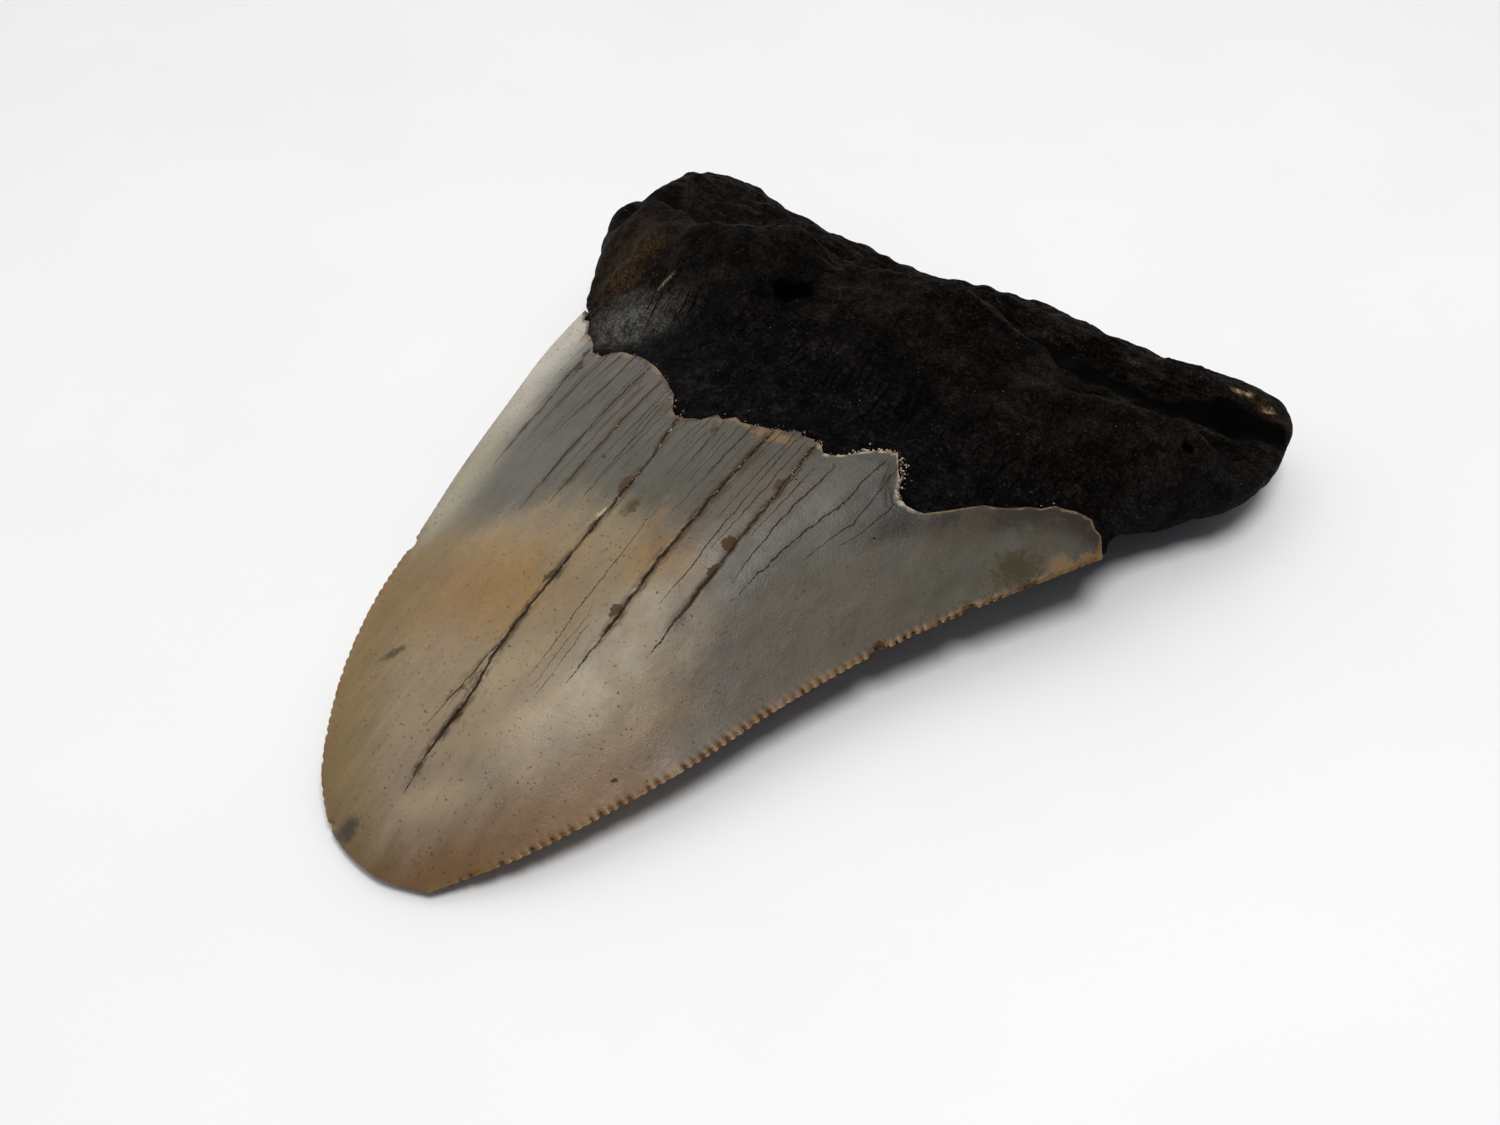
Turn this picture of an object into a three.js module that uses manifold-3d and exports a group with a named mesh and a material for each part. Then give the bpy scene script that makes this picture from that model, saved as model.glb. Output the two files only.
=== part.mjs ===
// A fossil megalodon tooth, one solid. It lies on its flat lip side, so the bulging tongue side faces up.
// Millimetres: x runs across the crown, y from the tip to the root, z up.

import * as THREE from 'three';
import { mergeVertices } from 'three/addons/utils/BufferGeometryUtils.js';
import Module from 'manifold-3d';

// Outline seen from above. The cutting edges run from the blunt tip to the crown's corners.
const TIP_EDGE = [[-8.7, -46.9], [-5.3, -47.8], [-1.4, -47.9], [2.8, -46.4]];
const LEFT_EDGE = [
  [-8.7, -46.9], [-13.1, -43.3], [-18.3, -35.7], [-21.9, -27.6], [-24, -19.8], [-26.7, -10.5],
  [-29.1, -0.6], [-30.9, 7.4], [-31.8, 14.8],
];
const RIGHT_EDGE = [
  [2.8, -46.4], [7.1, -40.8], [10.7, -33.7], [14.3, -24.8], [17.2, -15.2], [21.4, -4.5],
  [26.4, 5.3], [32, 15.2],
];
const ROOT_LEFT = [
  [-31.8, 14.8], [-34.2, 18.6], [-36.4, 22.6], [-38.9, 26.9], [-39.9, 31.1], [-39.6, 36.1], [-38.7, 40.4],
];
const ROOT_RIGHT = [
  [32, 15.2], [31.6, 18.6], [33, 22.6], [35.8, 27.3], [38.8, 31.6], [39.8, 36.6], [39.6, 41.2],
];
const ROOT_BACK = [
  [-38.7, 40.4], [-37, 45.3], [-31.6, 45.7], [-23.6, 43.6], [-14.6, 42.3], [-5.6, 42.4], [3.4, 44.4],
  [12.4, 45.8], [22.4, 46], [30.4, 47.6], [35.4, 47.4], [38.4, 45], [39.6, 41.2],
];
// A smooth line from corner to corner that parts the crown's grid from the root's.
const WAIST = [[-31.8, 14.8], [-23.6, 10.4], [-12.6, 7.4], [0.4, 6.6], [13.4, 8.2], [24.4, 11.8], [32, 15.2]];

// Broken upper end of the enamel, a ledge that stands above the root, and its smoother end underneath.
const LEDGE = [
  [-31.8, 14.8], [-28, 11], [-25.5, 9], [-23.4, 7.1], [-21, 8.8], [-18, 8.1], [-15.2, 7.2], [-12.3, 5.2],
  [-10, 3.6], [-8.2, 1.4], [-6.9, 1.4], [-3, 3.4], [0.7, 4.1], [3.8, 5.6], [6.4, 5.2], [8.2, 5.7],
  [9.4, 7.8], [11.9, 10], [13.4, 8.3], [14.8, 5.6], [17.8, 7], [21.4, 12], [25.9, 16.6], [28.4, 18],
  [30.2, 18], [32, 15.2],
];
const LEDGE_STEP = 0.8;
const LIP_LEDGE = [[-31.8, 14.8], [-22, 18.4], [-11, 20.8], [1, 21.4], [12, 20.4], [23, 18], [32, 15.2]];
const LIP_LEDGE_STEP = 0.4;

// Heights of the rim above the surface that the tooth lies on.
const TIP_RIM_HEIGHT = 1;
const CORNER_RIM_HEIGHT = 7.5;
const BACK_RIM_HEIGHT = 6.3;
const CROWN_RIM = [[0, TIP_RIM_HEIGHT], [0.1, 2.5], [0.3, 4.2], [0.6, 5.8], [1, CORNER_RIM_HEIGHT]];

// How far the tongue side bulges above the rim, and the root's crest, which is highest left of the middle.
const CROWN_BULGE = 8.2;
const CREST_BULGE = [
  [-1, 8], [-0.75, 9.5], [-0.5, 12.2], [-0.28, 13.9], [-0.15, 11.4], [0, 11.9], [0.12, 12.8], [0.22, 11.8],
  [0.34, 9.2], [0.5, 8.5], [0.65, 7.6], [0.85, 7.9], [1, 6.8],
];
const CREST_PLACE = [
  [-1, 0.5], [-0.5, 0.44], [-0.28, 0.56], [0.1, 0.58], [0.35, 0.58], [0.6, 0.48], [1, 0.5],
];
// Share of the crest's bulge from the waist at 0, over the crest at 0.5, to the basal edge at 1.
const ROOT_PROFILE = [
  [0, 0.66], [0.15, 0.78], [0.3, 0.91], [0.42, 0.985], [0.5, 1], [0.55, 0.93], [0.6, 0.66], [0.65, 0.38],
  [0.72, 0.31], [0.8, 0.33], [0.9, 0.33], [1, 0.29],
];
// Height of the lip side's middle line, from the tip at 0 over the waist at 1 to the basal edge at 2.
const LIP_PROFILE = [
  [0, 1], [0.05, 0.25], [0.13, 0], [0.5, 1.8], [0.8, 2.6], [1, 2.2], [1.25, 0.6], [1.4, -0.4], [1.8, -0.4],
  [2, 0.5],
];
const BASAL_ARCH = 1.6;

// How the tongue side's middle line rises from the tip: it is steep at first and flat at the waist.
const CROWN_RISE = { steep: 2.2, round: 0.75 };
// How the thickness fades at the crown's edges, the root's ends and its back.
const EDGE_FADE = 0.9;
const ROOT_END_FADE = 5;
const BACK_ROUNDING = 0.12;

// Grooves and swellings of the root, each along a path; a groove's height is negative.
const ROOT_RELIEF = [
  {
    path: [[-23, 37], [-14, 36], [-5, 36.5], [4, 38], [12, 39], [21, 38.5], [31, 38.5], [38, 40]],
    width: 1.5,
    height: -1.3,
  },
  { path: [[14, 40], [24, 41.4], [33, 43]], width: 2.4, height: 1.2 },
  { path: [[20, 29.5], [24, 31.5], [29, 33.5], [35, 35.5]], width: 1.5, height: -2.8 },
  { path: [[-32, 26.5], [-27, 25], [-22, 24.8], [-16, 25.5], [-11, 29]], width: 1.3, height: -1.3 },
  { path: [[-21, 31], [-14, 32.5]], width: 1.2, height: -0.9 },
  { path: [[16.5, 27.5], [21, 24], [24, 22.3], [28, 20.5]], width: 2.6, height: -0.9 },
  { path: [[-29, 17.6], [-28, 20.6]], width: 2.6, height: 0.9 },
  { path: [[-36.5, 35], [-35, 38.5]], width: 3, height: 2.6 },
  { path: [[-36.8, 26.2], [-35.8, 28]], width: 2, height: -2.8 },
];
const LUMP_HEIGHT = 0.32;

// Long cracks down the crown, from the ledge towards the tip.
const CRACKS = [
  [[-7.7, 2], [-6.4, -4.4], [-6, -12], [-5.2, -26.8], [-4.2, -33], [-4, -38], [-3.6, -42.6]],
  [[1.5, 5], [1.3, -4], [1.4, -14], [1.8, -22], [2, -27.4]],
  [[5.6, 6], [5.8, -3], [5.9, -12], [5.9, -20.7]],
  [[11.6, 8], [10.9, 1.8], [9.6, -3.8], [8.8, -9], [8.4, -12.5]],
];
const CRACK_DEPTH = 0.35;
const CRACK_HALF_WIDTH = 0.28;
const CRACK_TAPER = 9;

// Serrations, worn away at the tip.
const SERRATIONS = 75;
const SERRATION_DEPTH = 0.4;
const SERRATION_PHASES = [0, 0.3, 0.7];

// Pits and chips: centre, radii and turn about the vertical.
const PITS = [
  { at: [-8.4, 19.9, 19.2], radii: [1.2, 0.8, 2.4], turn: 0.8 },
  { at: [-7.3, 21.2, 19.4], radii: [1.2, 0.8, 2.2], turn: 0.8 },
  { at: [33.1, 28.9, 13.6], radii: [0.8, 0.6, 1.2], turn: 0.5 },
  { at: [-24.5, -21, 4.9], radii: [0.9, 1.2, 1.4], turn: 0.2 },
  { at: [-8.8, -46.8, 2], radii: [0.6, 0.9, 0.8], turn: -0.9 },
  { at: [21.3, -6.2, 6.1], radii: [0.9, 1.2, 1.1], turn: -0.5 },
  { at: [25.3, 2.7, 7], radii: [0.8, 1, 1], turn: -0.5 },
];
const PIT_SEGMENTS = [12, 8];

// Rows from the tip to the ledge and from the ledge to the back, and columns of the lip side.
const TONGUE_ROWS = { crown: 26, root: 26 };
const LIP_ROWS = { crown: 14, root: 16 };
const LIP_COLUMNS = 26;
const TIP_ROW_CROWDING = 1.15;
// Columns between the left rim, each crack and the right rim, and where the cracks' columns end at the tip.
const CELLS_BETWEEN = [13, 5, 3, 4, 13];
const TIP_PLACES = [0.42, 0.56, 0.68, 0.82];
const COLUMNS_EVEN_FROM = 1.25;
const RIM_MARGIN = 0.8;
const RIM_STEPS = { tip: 12, rootSide: 16, back: 36 };

// The ledge is searched for between these rows. Behind it the root falls away over a short slope.
const LEDGE_SEARCH = [0.6, 1.5];
const LEDGE_SLOPE = 0.004;
const STEP_FADE = 0.3;
const RELIEF_FADE = 0.12;
const SEARCH_STEPS = 30;

const ENAMEL_COLOUR = 0x8a8271;
const ENAMEL_ROUGHNESS = 0.4;

// Curves through points, and heights that follow a table of places and values.
const curve = (points) => new THREE.SplineCurve(points.map(([x, y]) => new THREE.Vector2(x, y)));
const OUTLINE = {
  tip: curve(TIP_EDGE),
  left: curve(LEFT_EDGE),
  right: curve(RIGHT_EDGE),
  waist: curve(WAIST),
  rootLeft: curve(ROOT_LEFT),
  rootRight: curve(ROOT_RIGHT),
  back: curve(ROOT_BACK),
};

function straight(table, place) {
  let k = 1;
  while (k < table.length - 1 && table[k][0] < place) k++;
  const [x0, y0] = table[k - 1];
  const [x1, y1] = table[k];
  return y0 + (y1 - y0) * THREE.MathUtils.clamp((place - x0) / (x1 - x0), 0, 1);
}

function slopes(table) {
  const last = table.length - 1;
  return table.map((_, k) => {
    const a = table[Math.max(k - 1, 0)];
    const b = table[Math.min(k + 1, last)];
    return (b[1] - a[1]) / (b[0] - a[0]);
  });
}

function smoothTable(table) {
  const slope = slopes(table);
  return (place) => {
    const x = THREE.MathUtils.clamp(place, table[0][0], table[table.length - 1][0]);
    let k = 1;
    while (k < table.length - 1 && table[k][0] < x) k++;
    const h = table[k][0] - table[k - 1][0];
    const t = (x - table[k - 1][0]) / h;
    const start = (1 + 2 * t) * (1 - t) ** 2 * table[k - 1][1] + t * (1 - t) ** 2 * h * slope[k - 1];
    const end = t * t * (3 - 2 * t) * table[k][1] + t * t * (t - 1) * h * slope[k];
    return start + end;
  };
}

const crownRim = smoothTable(CROWN_RIM);
const crestBulge = smoothTable(CREST_BULGE);
const crestPlace = smoothTable(CREST_PLACE);
const rootProfile = smoothTable(ROOT_PROFILE);
const lipProfile = smoothTable(LIP_PROFILE);
const ease = (x, from, to) => THREE.MathUtils.smoothstep(x, from, to);

// Place on the outline's plan. across is 0 to 1 from left to right.
// along is 0 at the tip, 1 at the waist and 2 at the back.
function coons(across, along, low, high, left, right) {
  const edges = low.getPointAt(across).multiplyScalar(1 - along)
    .add(high.getPointAt(across).multiplyScalar(along))
    .add(left.getPointAt(along).multiplyScalar(1 - across))
    .add(right.getPointAt(along).multiplyScalar(across));
  const corners = low.getPointAt(0).multiplyScalar((1 - across) * (1 - along))
    .add(low.getPointAt(1).multiplyScalar(across * (1 - along)))
    .add(high.getPointAt(0).multiplyScalar((1 - across) * along))
    .add(high.getPointAt(1).multiplyScalar(across * along));
  return edges.sub(corners);
}

function plan(column, row) {
  const across = THREE.MathUtils.clamp(column, 0, 1);
  const along = THREE.MathUtils.clamp(row, 0, 2);
  if (along <= 1) return coons(across, along, OUTLINE.tip, OUTLINE.waist, OUTLINE.left, OUTLINE.right);
  return coons(across, along - 1, OUTLINE.waist, OUTLINE.back, OUTLINE.rootLeft, OUTLINE.rootRight);
}

// Heights of the rim and of both sides.
function rimHeight(along) {
  if (along <= 1) return crownRim(along);
  return CORNER_RIM_HEIGHT + (BACK_RIM_HEIGHT - CORNER_RIM_HEIGHT) * ease(along - 1, 0, 1);
}

const crownArch = (side) => 0.5 * (1 - side * side) + 0.5 * Math.cos(Math.PI * side / 2) ** 2;
const roundEnd = (side) => Math.sqrt(Math.max(1 - Math.abs(side) ** ROOT_END_FADE, 0));

// 1 over the root, falling as a quarter circle to 0 at its back edge.
function roundBack(along) {
  const past = Math.max(along - 2 + BACK_ROUNDING, 0) / BACK_ROUNDING;
  return Math.sqrt(Math.max(1 - past ** 2, 0));
}

function tongueHeight(across, along) {
  const side = 2 * across - 1;
  if (along <= 1) {
    const bulge = CROWN_BULGE * (1 - (1 - along) ** CROWN_RISE.steep) ** CROWN_RISE.round;
    const middle = THREE.MathUtils.lerp(TIP_RIM_HEIGHT, CORNER_RIM_HEIGHT, along) + bulge;
    return rimHeight(along) + (middle - rimHeight(along)) * crownArch(side);
  }
  const depth = along - 1;
  const crest = crestPlace(side);
  const place = depth < crest ? 0.5 * depth / crest : 0.5 + 0.5 * (depth - crest) / (1 - crest);
  const root = ease(depth, 0, 0.5);
  const bulge = CROWN_BULGE * crownArch(side) * (1 - root)
    + crestBulge(side) * roundEnd(side) * rootProfile(place) * root;
  return rimHeight(along) + bulge * roundBack(along);
}

function lipHeight(across, along) {
  const side = 2 * across - 1;
  const root = ease(along, 1, 1.4);
  const lens = (1 - side * side) ** EDGE_FADE * (1 - root) + roundEnd(side) * root;
  const arch = BASAL_ARCH * ease(along, 1.05, 1.5) * (1 - ease(Math.abs(side), 0.15, 0.5));
  const drop = (rimHeight(along) - lipProfile(along) - arch) * lens * roundBack(along);
  return Math.max(rimHeight(along) - drop, 0);
}

// Distance from a place to a path, for the grooves and swellings.
function distanceToPath({ x, y }, path) {
  let nearest = Infinity;
  for (let k = 1; k < path.length; k++) {
    const [ax, ay] = path[k - 1];
    const [bx, by] = path[k];
    const length = (bx - ax) ** 2 + (by - ay) ** 2;
    const t = THREE.MathUtils.clamp(((x - ax) * (bx - ax) + (y - ay) * (by - ay)) / length, 0, 1);
    nearest = Math.min(nearest, Math.hypot(ax + t * (bx - ax) - x, ay + t * (by - ay) - y));
  }
  return nearest;
}

const lumps = ({ x, y }) => LUMP_HEIGHT * (
  Math.sin(0.71 * x + 0.39 * y + 0.6) * Math.sin(0.83 * y - 0.27 * x + 1.1)
  + 0.6 * Math.sin(1.37 * x - 0.5 * y + 2.3) * Math.sin(1.13 * y + 0.61 * x));

function rootRelief(place) {
  return ROOT_RELIEF.reduce((sum, { path, width, height }) => {
    const share = distanceToPath(place, path) / width;
    return sum + height * Math.exp(-(share ** 2));
  }, lumps(place));
}

// The value between low and high where a test turns from true to false.
function turningPoint(low, high, test) {
  for (let step = 0; step < SEARCH_STEPS; step++) {
    const middle = (low + high) / 2;
    if (test(middle)) low = middle;
    else high = middle;
  }
  return (low + high) / 2;
}

// Where a column of the grid crosses a line that runs from side to side.
function crossing(across, line) {
  return turningPoint(...LEDGE_SEARCH, (along) => {
    const place = plan(across, along);
    return place.y < straight(line, place.x);
  });
}

// Where a row of the grid crosses a crack. Past the crack's end its column runs on to its place at the tip.
function crackPlace(crack, tipPlace, row) {
  const byDistance = crack.map(([x, y]) => [-y, x]);
  const onCrack = (along) => turningPoint(0, 1, (across) => {
    const place = plan(across, along);
    return place.x < straight(byDistance, -place.y);
  });
  const end = turningPoint(0.05, 1, (along) => plan(onCrack(along), along).y < crack[crack.length - 1][1]);
  return THREE.MathUtils.lerp(onCrack(Math.max(row, end)), tipPlace, ease(1 - row / end, 0, 0.6));
}

function crackDepth(crack, place) {
  const end = crack[crack.length - 1][1];
  return CRACK_DEPTH * ease(place.y, end, end + CRACK_TAPER);
}

const widthAt = (along) => plan(1, along).distanceTo(plan(0, along));

// Columns from rim to rim, closer together near the rim but never closer to it than the margin.
function evenColumns(count, along) {
  const margin = RIM_MARGIN / widthAt(along);
  const inner = Array.from({ length: count - 1 }, (_, k) => {
    const f = k / (count - 2);
    const eased = 0.5 * f + 0.5 * (0.5 - 0.5 * Math.cos(Math.PI * f));
    return { across: margin + (1 - 2 * margin) * eased };
  });
  return [{ across: 0 }, ...inner, { across: 1 }];
}

// Columns of the tongue side: three on each crack, so that it is a narrow V, and more between them.
function crackedColumns(along) {
  const width = widthAt(along);
  const half = CRACK_HALF_WIDTH / width;
  const cracks = CRACKS.map((crack, k) => crackPlace(crack, TIP_PLACES[k], along));
  const starts = [RIM_MARGIN / width, ...cracks.map((across) => across + half)];
  const ends = [...cracks.map((across) => across - half), 1 - RIM_MARGIN / width];
  const columns = [];
  CELLS_BETWEEN.forEach((cells, gap) => {
    for (let k = 0; k <= cells; k++) {
      columns.push({ across: THREE.MathUtils.lerp(starts[gap], ends[gap], k / cells) });
    }
    if (gap < CRACKS.length) columns.push({ across: cracks[gap], crack: CRACKS[gap] });
  });
  return [{ across: 0 }, ...columns, { across: 1 }];
}

function tongueColumns(along) {
  const cracked = crackedColumns(Math.min(along, 1));
  const even = evenColumns(cracked.length - 1, along);
  const relaxed = ease(along, 1, COLUMNS_EVEN_FROM);
  return cracked.map(({ across, crack }, k) => (
    { across: THREE.MathUtils.lerp(across, even[k].across, relaxed), crack }));
}

const lipColumns = (along) => evenColumns(LIP_COLUMNS, along);

// Rows of a side: even ones, bent to follow the ledge, with two rows on the ledge for its step.
function rowPlaces({ crown, root }) {
  const rows = [];
  for (let k = 0; k <= crown; k++) rows.push({ along: (k / crown) ** TIP_ROW_CROWDING, enamel: true });
  for (let k = 0; k <= root; k++) rows.push({ along: 1 + Math.sin(k / root * Math.PI / 2), enamel: false });
  return rows;
}

function bent(row, ledge) {
  if (row.enamel) return row.along + (ledge - 1) * row.along ** 3;
  return row.along + (ledge - 1) * (2 - row.along) ** 3 + LEDGE_SLOPE * (2 - row.along);
}

// Height of the root below the enamel's surface, just behind the ledge.
function stepAt(across, along, ledge, step) {
  const side = Math.abs(2 * across - 1);
  return step * (1 - ease(along, ledge, ledge + STEP_FADE)) * (1 - ease(side, 0.9, 1));
}

const SIDES = {
  tongue: {
    rows: rowPlaces(TONGUE_ROWS),
    columns: tongueColumns,
    ledge: LEDGE,
    height({ across, along, ledge, isEnamel, crack, place }) {
      const z = tongueHeight(across, along);
      if (isEnamel) return crack ? z - crackDepth(crack, place) : z;
      const free = ease(along, ledge, ledge + RELIEF_FADE) * roundEnd(2 * across - 1) * roundBack(along);
      return z - stepAt(across, along, ledge, LEDGE_STEP) + rootRelief(place) * free;
    },
  },
  lip: {
    rows: rowPlaces(LIP_ROWS),
    columns: lipColumns,
    ledge: LIP_LEDGE,
    height({ across, along, ledge, isEnamel }) {
      const z = lipHeight(across, along);
      return isEnamel || z === 0 ? z : z + stepAt(across, along, ledge, LIP_LEDGE_STEP);
    },
  },
};

// Grid of one side, as rows of { across, along, point }.
function sideGrid(side) {
  const ledges = new Map();
  return side.rows.map((row) => side.columns(row.along).map(({ across, crack }) => {
    const key = across.toFixed(6);
    if (!ledges.has(key)) ledges.set(key, crossing(across, side.ledge));
    const ledge = ledges.get(key);
    const along = THREE.MathUtils.clamp(bent(row, ledge), 0, 2);
    const place = plan(across, along);
    const z = side.height({ across, along, ledge, isEnamel: row.enamel, crack, place });
    return { across, along, point: new THREE.Vector3(place.x, place.y, z) };
  }));
}

// The rim all round, anticlockwise from above: tip edge, right edge, back, left edge.
// Each point's turn runs from 0 to 4, a whole number at each corner.
function rimPoint(across, along, turn, inset = 0) {
  const place = plan(across, along);
  if (inset) place.lerp(plan(0.5, along), inset / place.distanceTo(plan(0.5, along)));
  return { turn, point: new THREE.Vector3(place.x, place.y, rimHeight(along)) };
}

function serratedEdge(across, turnAt) {
  const points = [];
  for (let k = 0; k < SERRATIONS; k++) {
    for (const phase of SERRATION_PHASES) {
      const along = (k + phase) / SERRATIONS;
      const wear = ease(along, 0, 0.1);
      const inset = phase === 0 ? SERRATION_DEPTH * wear : 0;
      if (along > 0) points.push(rimPoint(across, along, turnAt(along), inset));
    }
  }
  return points;
}

function rim() {
  const even = (count, make) => Array.from({ length: count }, (_, k) => make(k / count));
  return [
    ...even(RIM_STEPS.tip, (f) => rimPoint(f, 0, f)),
    rimPoint(1, 0, 1),
    ...serratedEdge(1, (along) => 1 + along / 2),
    ...even(RIM_STEPS.rootSide, (f) => rimPoint(1, 1 + f, 1.5 + f / 2)),
    ...even(RIM_STEPS.back, (f) => rimPoint(1 - f, 2, 2 + f)),
    ...even(RIM_STEPS.rootSide, (f) => rimPoint(0, 2 - f, 3 + f / 2)),
    rimPoint(0, 1, 3.5),
    ...serratedEdge(0, (along) => 4 - along / 2).reverse(),
  ];
}

// The outermost ring of a grid's inner vertices, with turns that match the rim's.
function innerRing(grid) {
  const top = grid.length - 2;
  const far = grid[0].length - 2;
  const ring = [];
  const push = (turn, row, column) => ring.push({ turn, point: grid[row][column].point });
  for (let k = 1; k < far; k++) push(k === 1 ? 0 : grid[0][k].across, 1, k);
  for (let r = 1; r < top; r++) push(r === 1 ? 1 : 1 + grid[r][far + 1].along / 2, r, far);
  for (let k = far; k > 1; k--) push(k === far ? 2 : 3 - grid[top + 1][k].across, top, k);
  for (let r = top; r > 1; r--) push(r === top ? 3 : 4 - grid[r][0].along / 2, r, 1);
  return ring;
}

// Triangles between the rim and a grid's inner ring.
function stitch(outer, inner, add) {
  let a = 0;
  let b = 0;
  while (a < outer.length || b < inner.length) {
    const nextOuter = a + 1 < outer.length ? outer[a + 1].turn : 4;
    const nextInner = b + 1 < inner.length ? inner[b + 1].turn : 4;
    const here = outer[a % outer.length].point;
    const there = inner[b % inner.length].point;
    if (b >= inner.length || (a < outer.length && nextOuter <= nextInner)) {
      add(here, outer[(a + 1) % outer.length].point, there);
      a++;
    } else {
      add(here, inner[(b + 1) % inner.length].point, there);
      b++;
    }
  }
}

// All triangles of one side, seen from above when faceUp is true.
function sideTriangles(side, outer, faceUp) {
  const triangles = [];
  const add = (a, b, c) => triangles.push(...(faceUp ? [a, b, c] : [a, c, b]));
  const grid = sideGrid(side);
  for (let r = 1; r < grid.length - 2; r++) {
    for (let k = 1; k < grid[0].length - 2; k++) {
      const [a, b] = [grid[r][k].point, grid[r][k + 1].point];
      const [d, c] = [grid[r + 1][k].point, grid[r + 1][k + 1].point];
      add(a, b, c);
      add(a, c, d);
    }
  }
  stitch(outer, innerRing(grid), add);
  return triangles;
}

function bodyGeometry() {
  const outer = rim();
  const triangles = [...sideTriangles(SIDES.tongue, outer, true), ...sideTriangles(SIDES.lip, outer, false)];
  return mergeVertices(new THREE.BufferGeometry().setFromPoints(triangles));
}

// Solids for the cuts.
const wasm = await Module();
wasm.setup();

function toSolid(geometry) {
  const merged = mergeVertices(geometry.clone().deleteAttribute('normal').deleteAttribute('uv'), 1e-4);
  return new wasm.Manifold(new wasm.Mesh({
    numProp: 3,
    vertProperties: new Float32Array(merged.attributes.position.array),
    triVerts: new Uint32Array(merged.index.array),
  }));
}

function toGeometry(solid) {
  const mesh = solid.getMesh();
  const geometry = new THREE.BufferGeometry();
  geometry.setAttribute('position', new THREE.BufferAttribute(mesh.vertProperties, 3));
  geometry.setIndex(new THREE.BufferAttribute(mesh.triVerts, 1));
  return geometry;
}

function pitSolid({ at, radii, turn }) {
  const ball = new THREE.SphereGeometry(1, ...PIT_SEGMENTS);
  ball.scale(...radii).rotateZ(turn).translate(...at);
  return toSolid(ball);
}

function toothGeometry() {
  const solid = PITS.reduce((body, pit) => body.subtract(pitSolid(pit)), toSolid(bodyGeometry()));
  const geometry = toGeometry(solid);
  geometry.computeBoundingBox();
  const middle = geometry.boundingBox.getCenter(new THREE.Vector3());
  geometry.translate(-middle.x, -middle.y, -geometry.boundingBox.min.z);
  geometry.computeVertexNormals();
  return geometry;
}

const enamel = new THREE.MeshStandardMaterial({ color: ENAMEL_COLOUR, roughness: ENAMEL_ROUGHNESS });
const tooth = new THREE.Mesh(toothGeometry(), enamel);
tooth.name = 'tooth';

const model = new THREE.Group();
model.add(tooth);
export default model;
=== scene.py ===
import math
import random

import bpy
import numpy as np
from mathutils import Euler, Matrix, Vector, noise


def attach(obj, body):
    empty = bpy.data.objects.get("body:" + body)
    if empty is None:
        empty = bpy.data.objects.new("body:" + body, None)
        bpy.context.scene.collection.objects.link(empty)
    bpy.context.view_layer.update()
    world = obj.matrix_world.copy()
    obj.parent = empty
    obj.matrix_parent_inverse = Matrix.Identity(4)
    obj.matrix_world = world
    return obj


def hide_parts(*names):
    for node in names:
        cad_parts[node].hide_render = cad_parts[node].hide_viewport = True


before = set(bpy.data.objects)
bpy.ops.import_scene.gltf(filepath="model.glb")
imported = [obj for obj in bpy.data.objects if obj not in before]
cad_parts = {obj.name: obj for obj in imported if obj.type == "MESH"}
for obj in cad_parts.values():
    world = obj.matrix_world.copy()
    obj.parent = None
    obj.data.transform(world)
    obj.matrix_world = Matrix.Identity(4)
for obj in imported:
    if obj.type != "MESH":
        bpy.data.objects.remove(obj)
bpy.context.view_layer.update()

# A fossil megalodon tooth, lying on its flat lip side on a pale table.
# Shapes are worked out in millimetres: x across the crown, y from the tip to the root, z up.
MM = 0.001

# Outline seen from above.
TIP_EDGE = [(-8.7, -46.9), (-5.3, -47.8), (-1.4, -47.9), (2.8, -46.4)]
LEFT_EDGE = [
    (-8.7, -46.9), (-13.1, -43.3), (-18.3, -35.7), (-21.9, -27.6), (-24, -19.8),
    (-26.7, -10.5), (-29.1, -0.6), (-30.9, 7.4), (-31.8, 14.8),
]
RIGHT_EDGE = [
    (2.8, -46.4), (7.1, -40.8), (10.7, -33.7), (14.3, -24.8), (17.2, -15.2), (21.4, -4.5), (26.4, 5.3),
    (32, 15.2),
]
ROOT_LEFT = [
    (-31.8, 14.8), (-34.2, 18.6), (-36.4, 22.6), (-38.9, 26.9), (-39.9, 31.1), (-39.6, 36.1), (-38.7, 40.4),
]
ROOT_RIGHT = [
    (32, 15.2), (31.6, 18.6), (33, 22.6), (35.8, 27.3), (38.8, 31.6), (39.8, 36.6), (39.6, 41.2),
]
ROOT_BACK = [
    (-38.7, 40.4), (-37, 45.3), (-31.6, 45.7), (-23.6, 43.6), (-14.6, 42.3), (-5.6, 42.4), (3.4, 44.4),
    (12.4, 45.8), (22.4, 46), (30.4, 47.6), (35.4, 47.4), (38.4, 45), (39.6, 41.2),
]
WAIST = [(-31.8, 14.8), (-23.6, 10.4), (-12.6, 7.4), (0.4, 6.6), (13.4, 8.2), (24.4, 11.8), (32, 15.2)]

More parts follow.
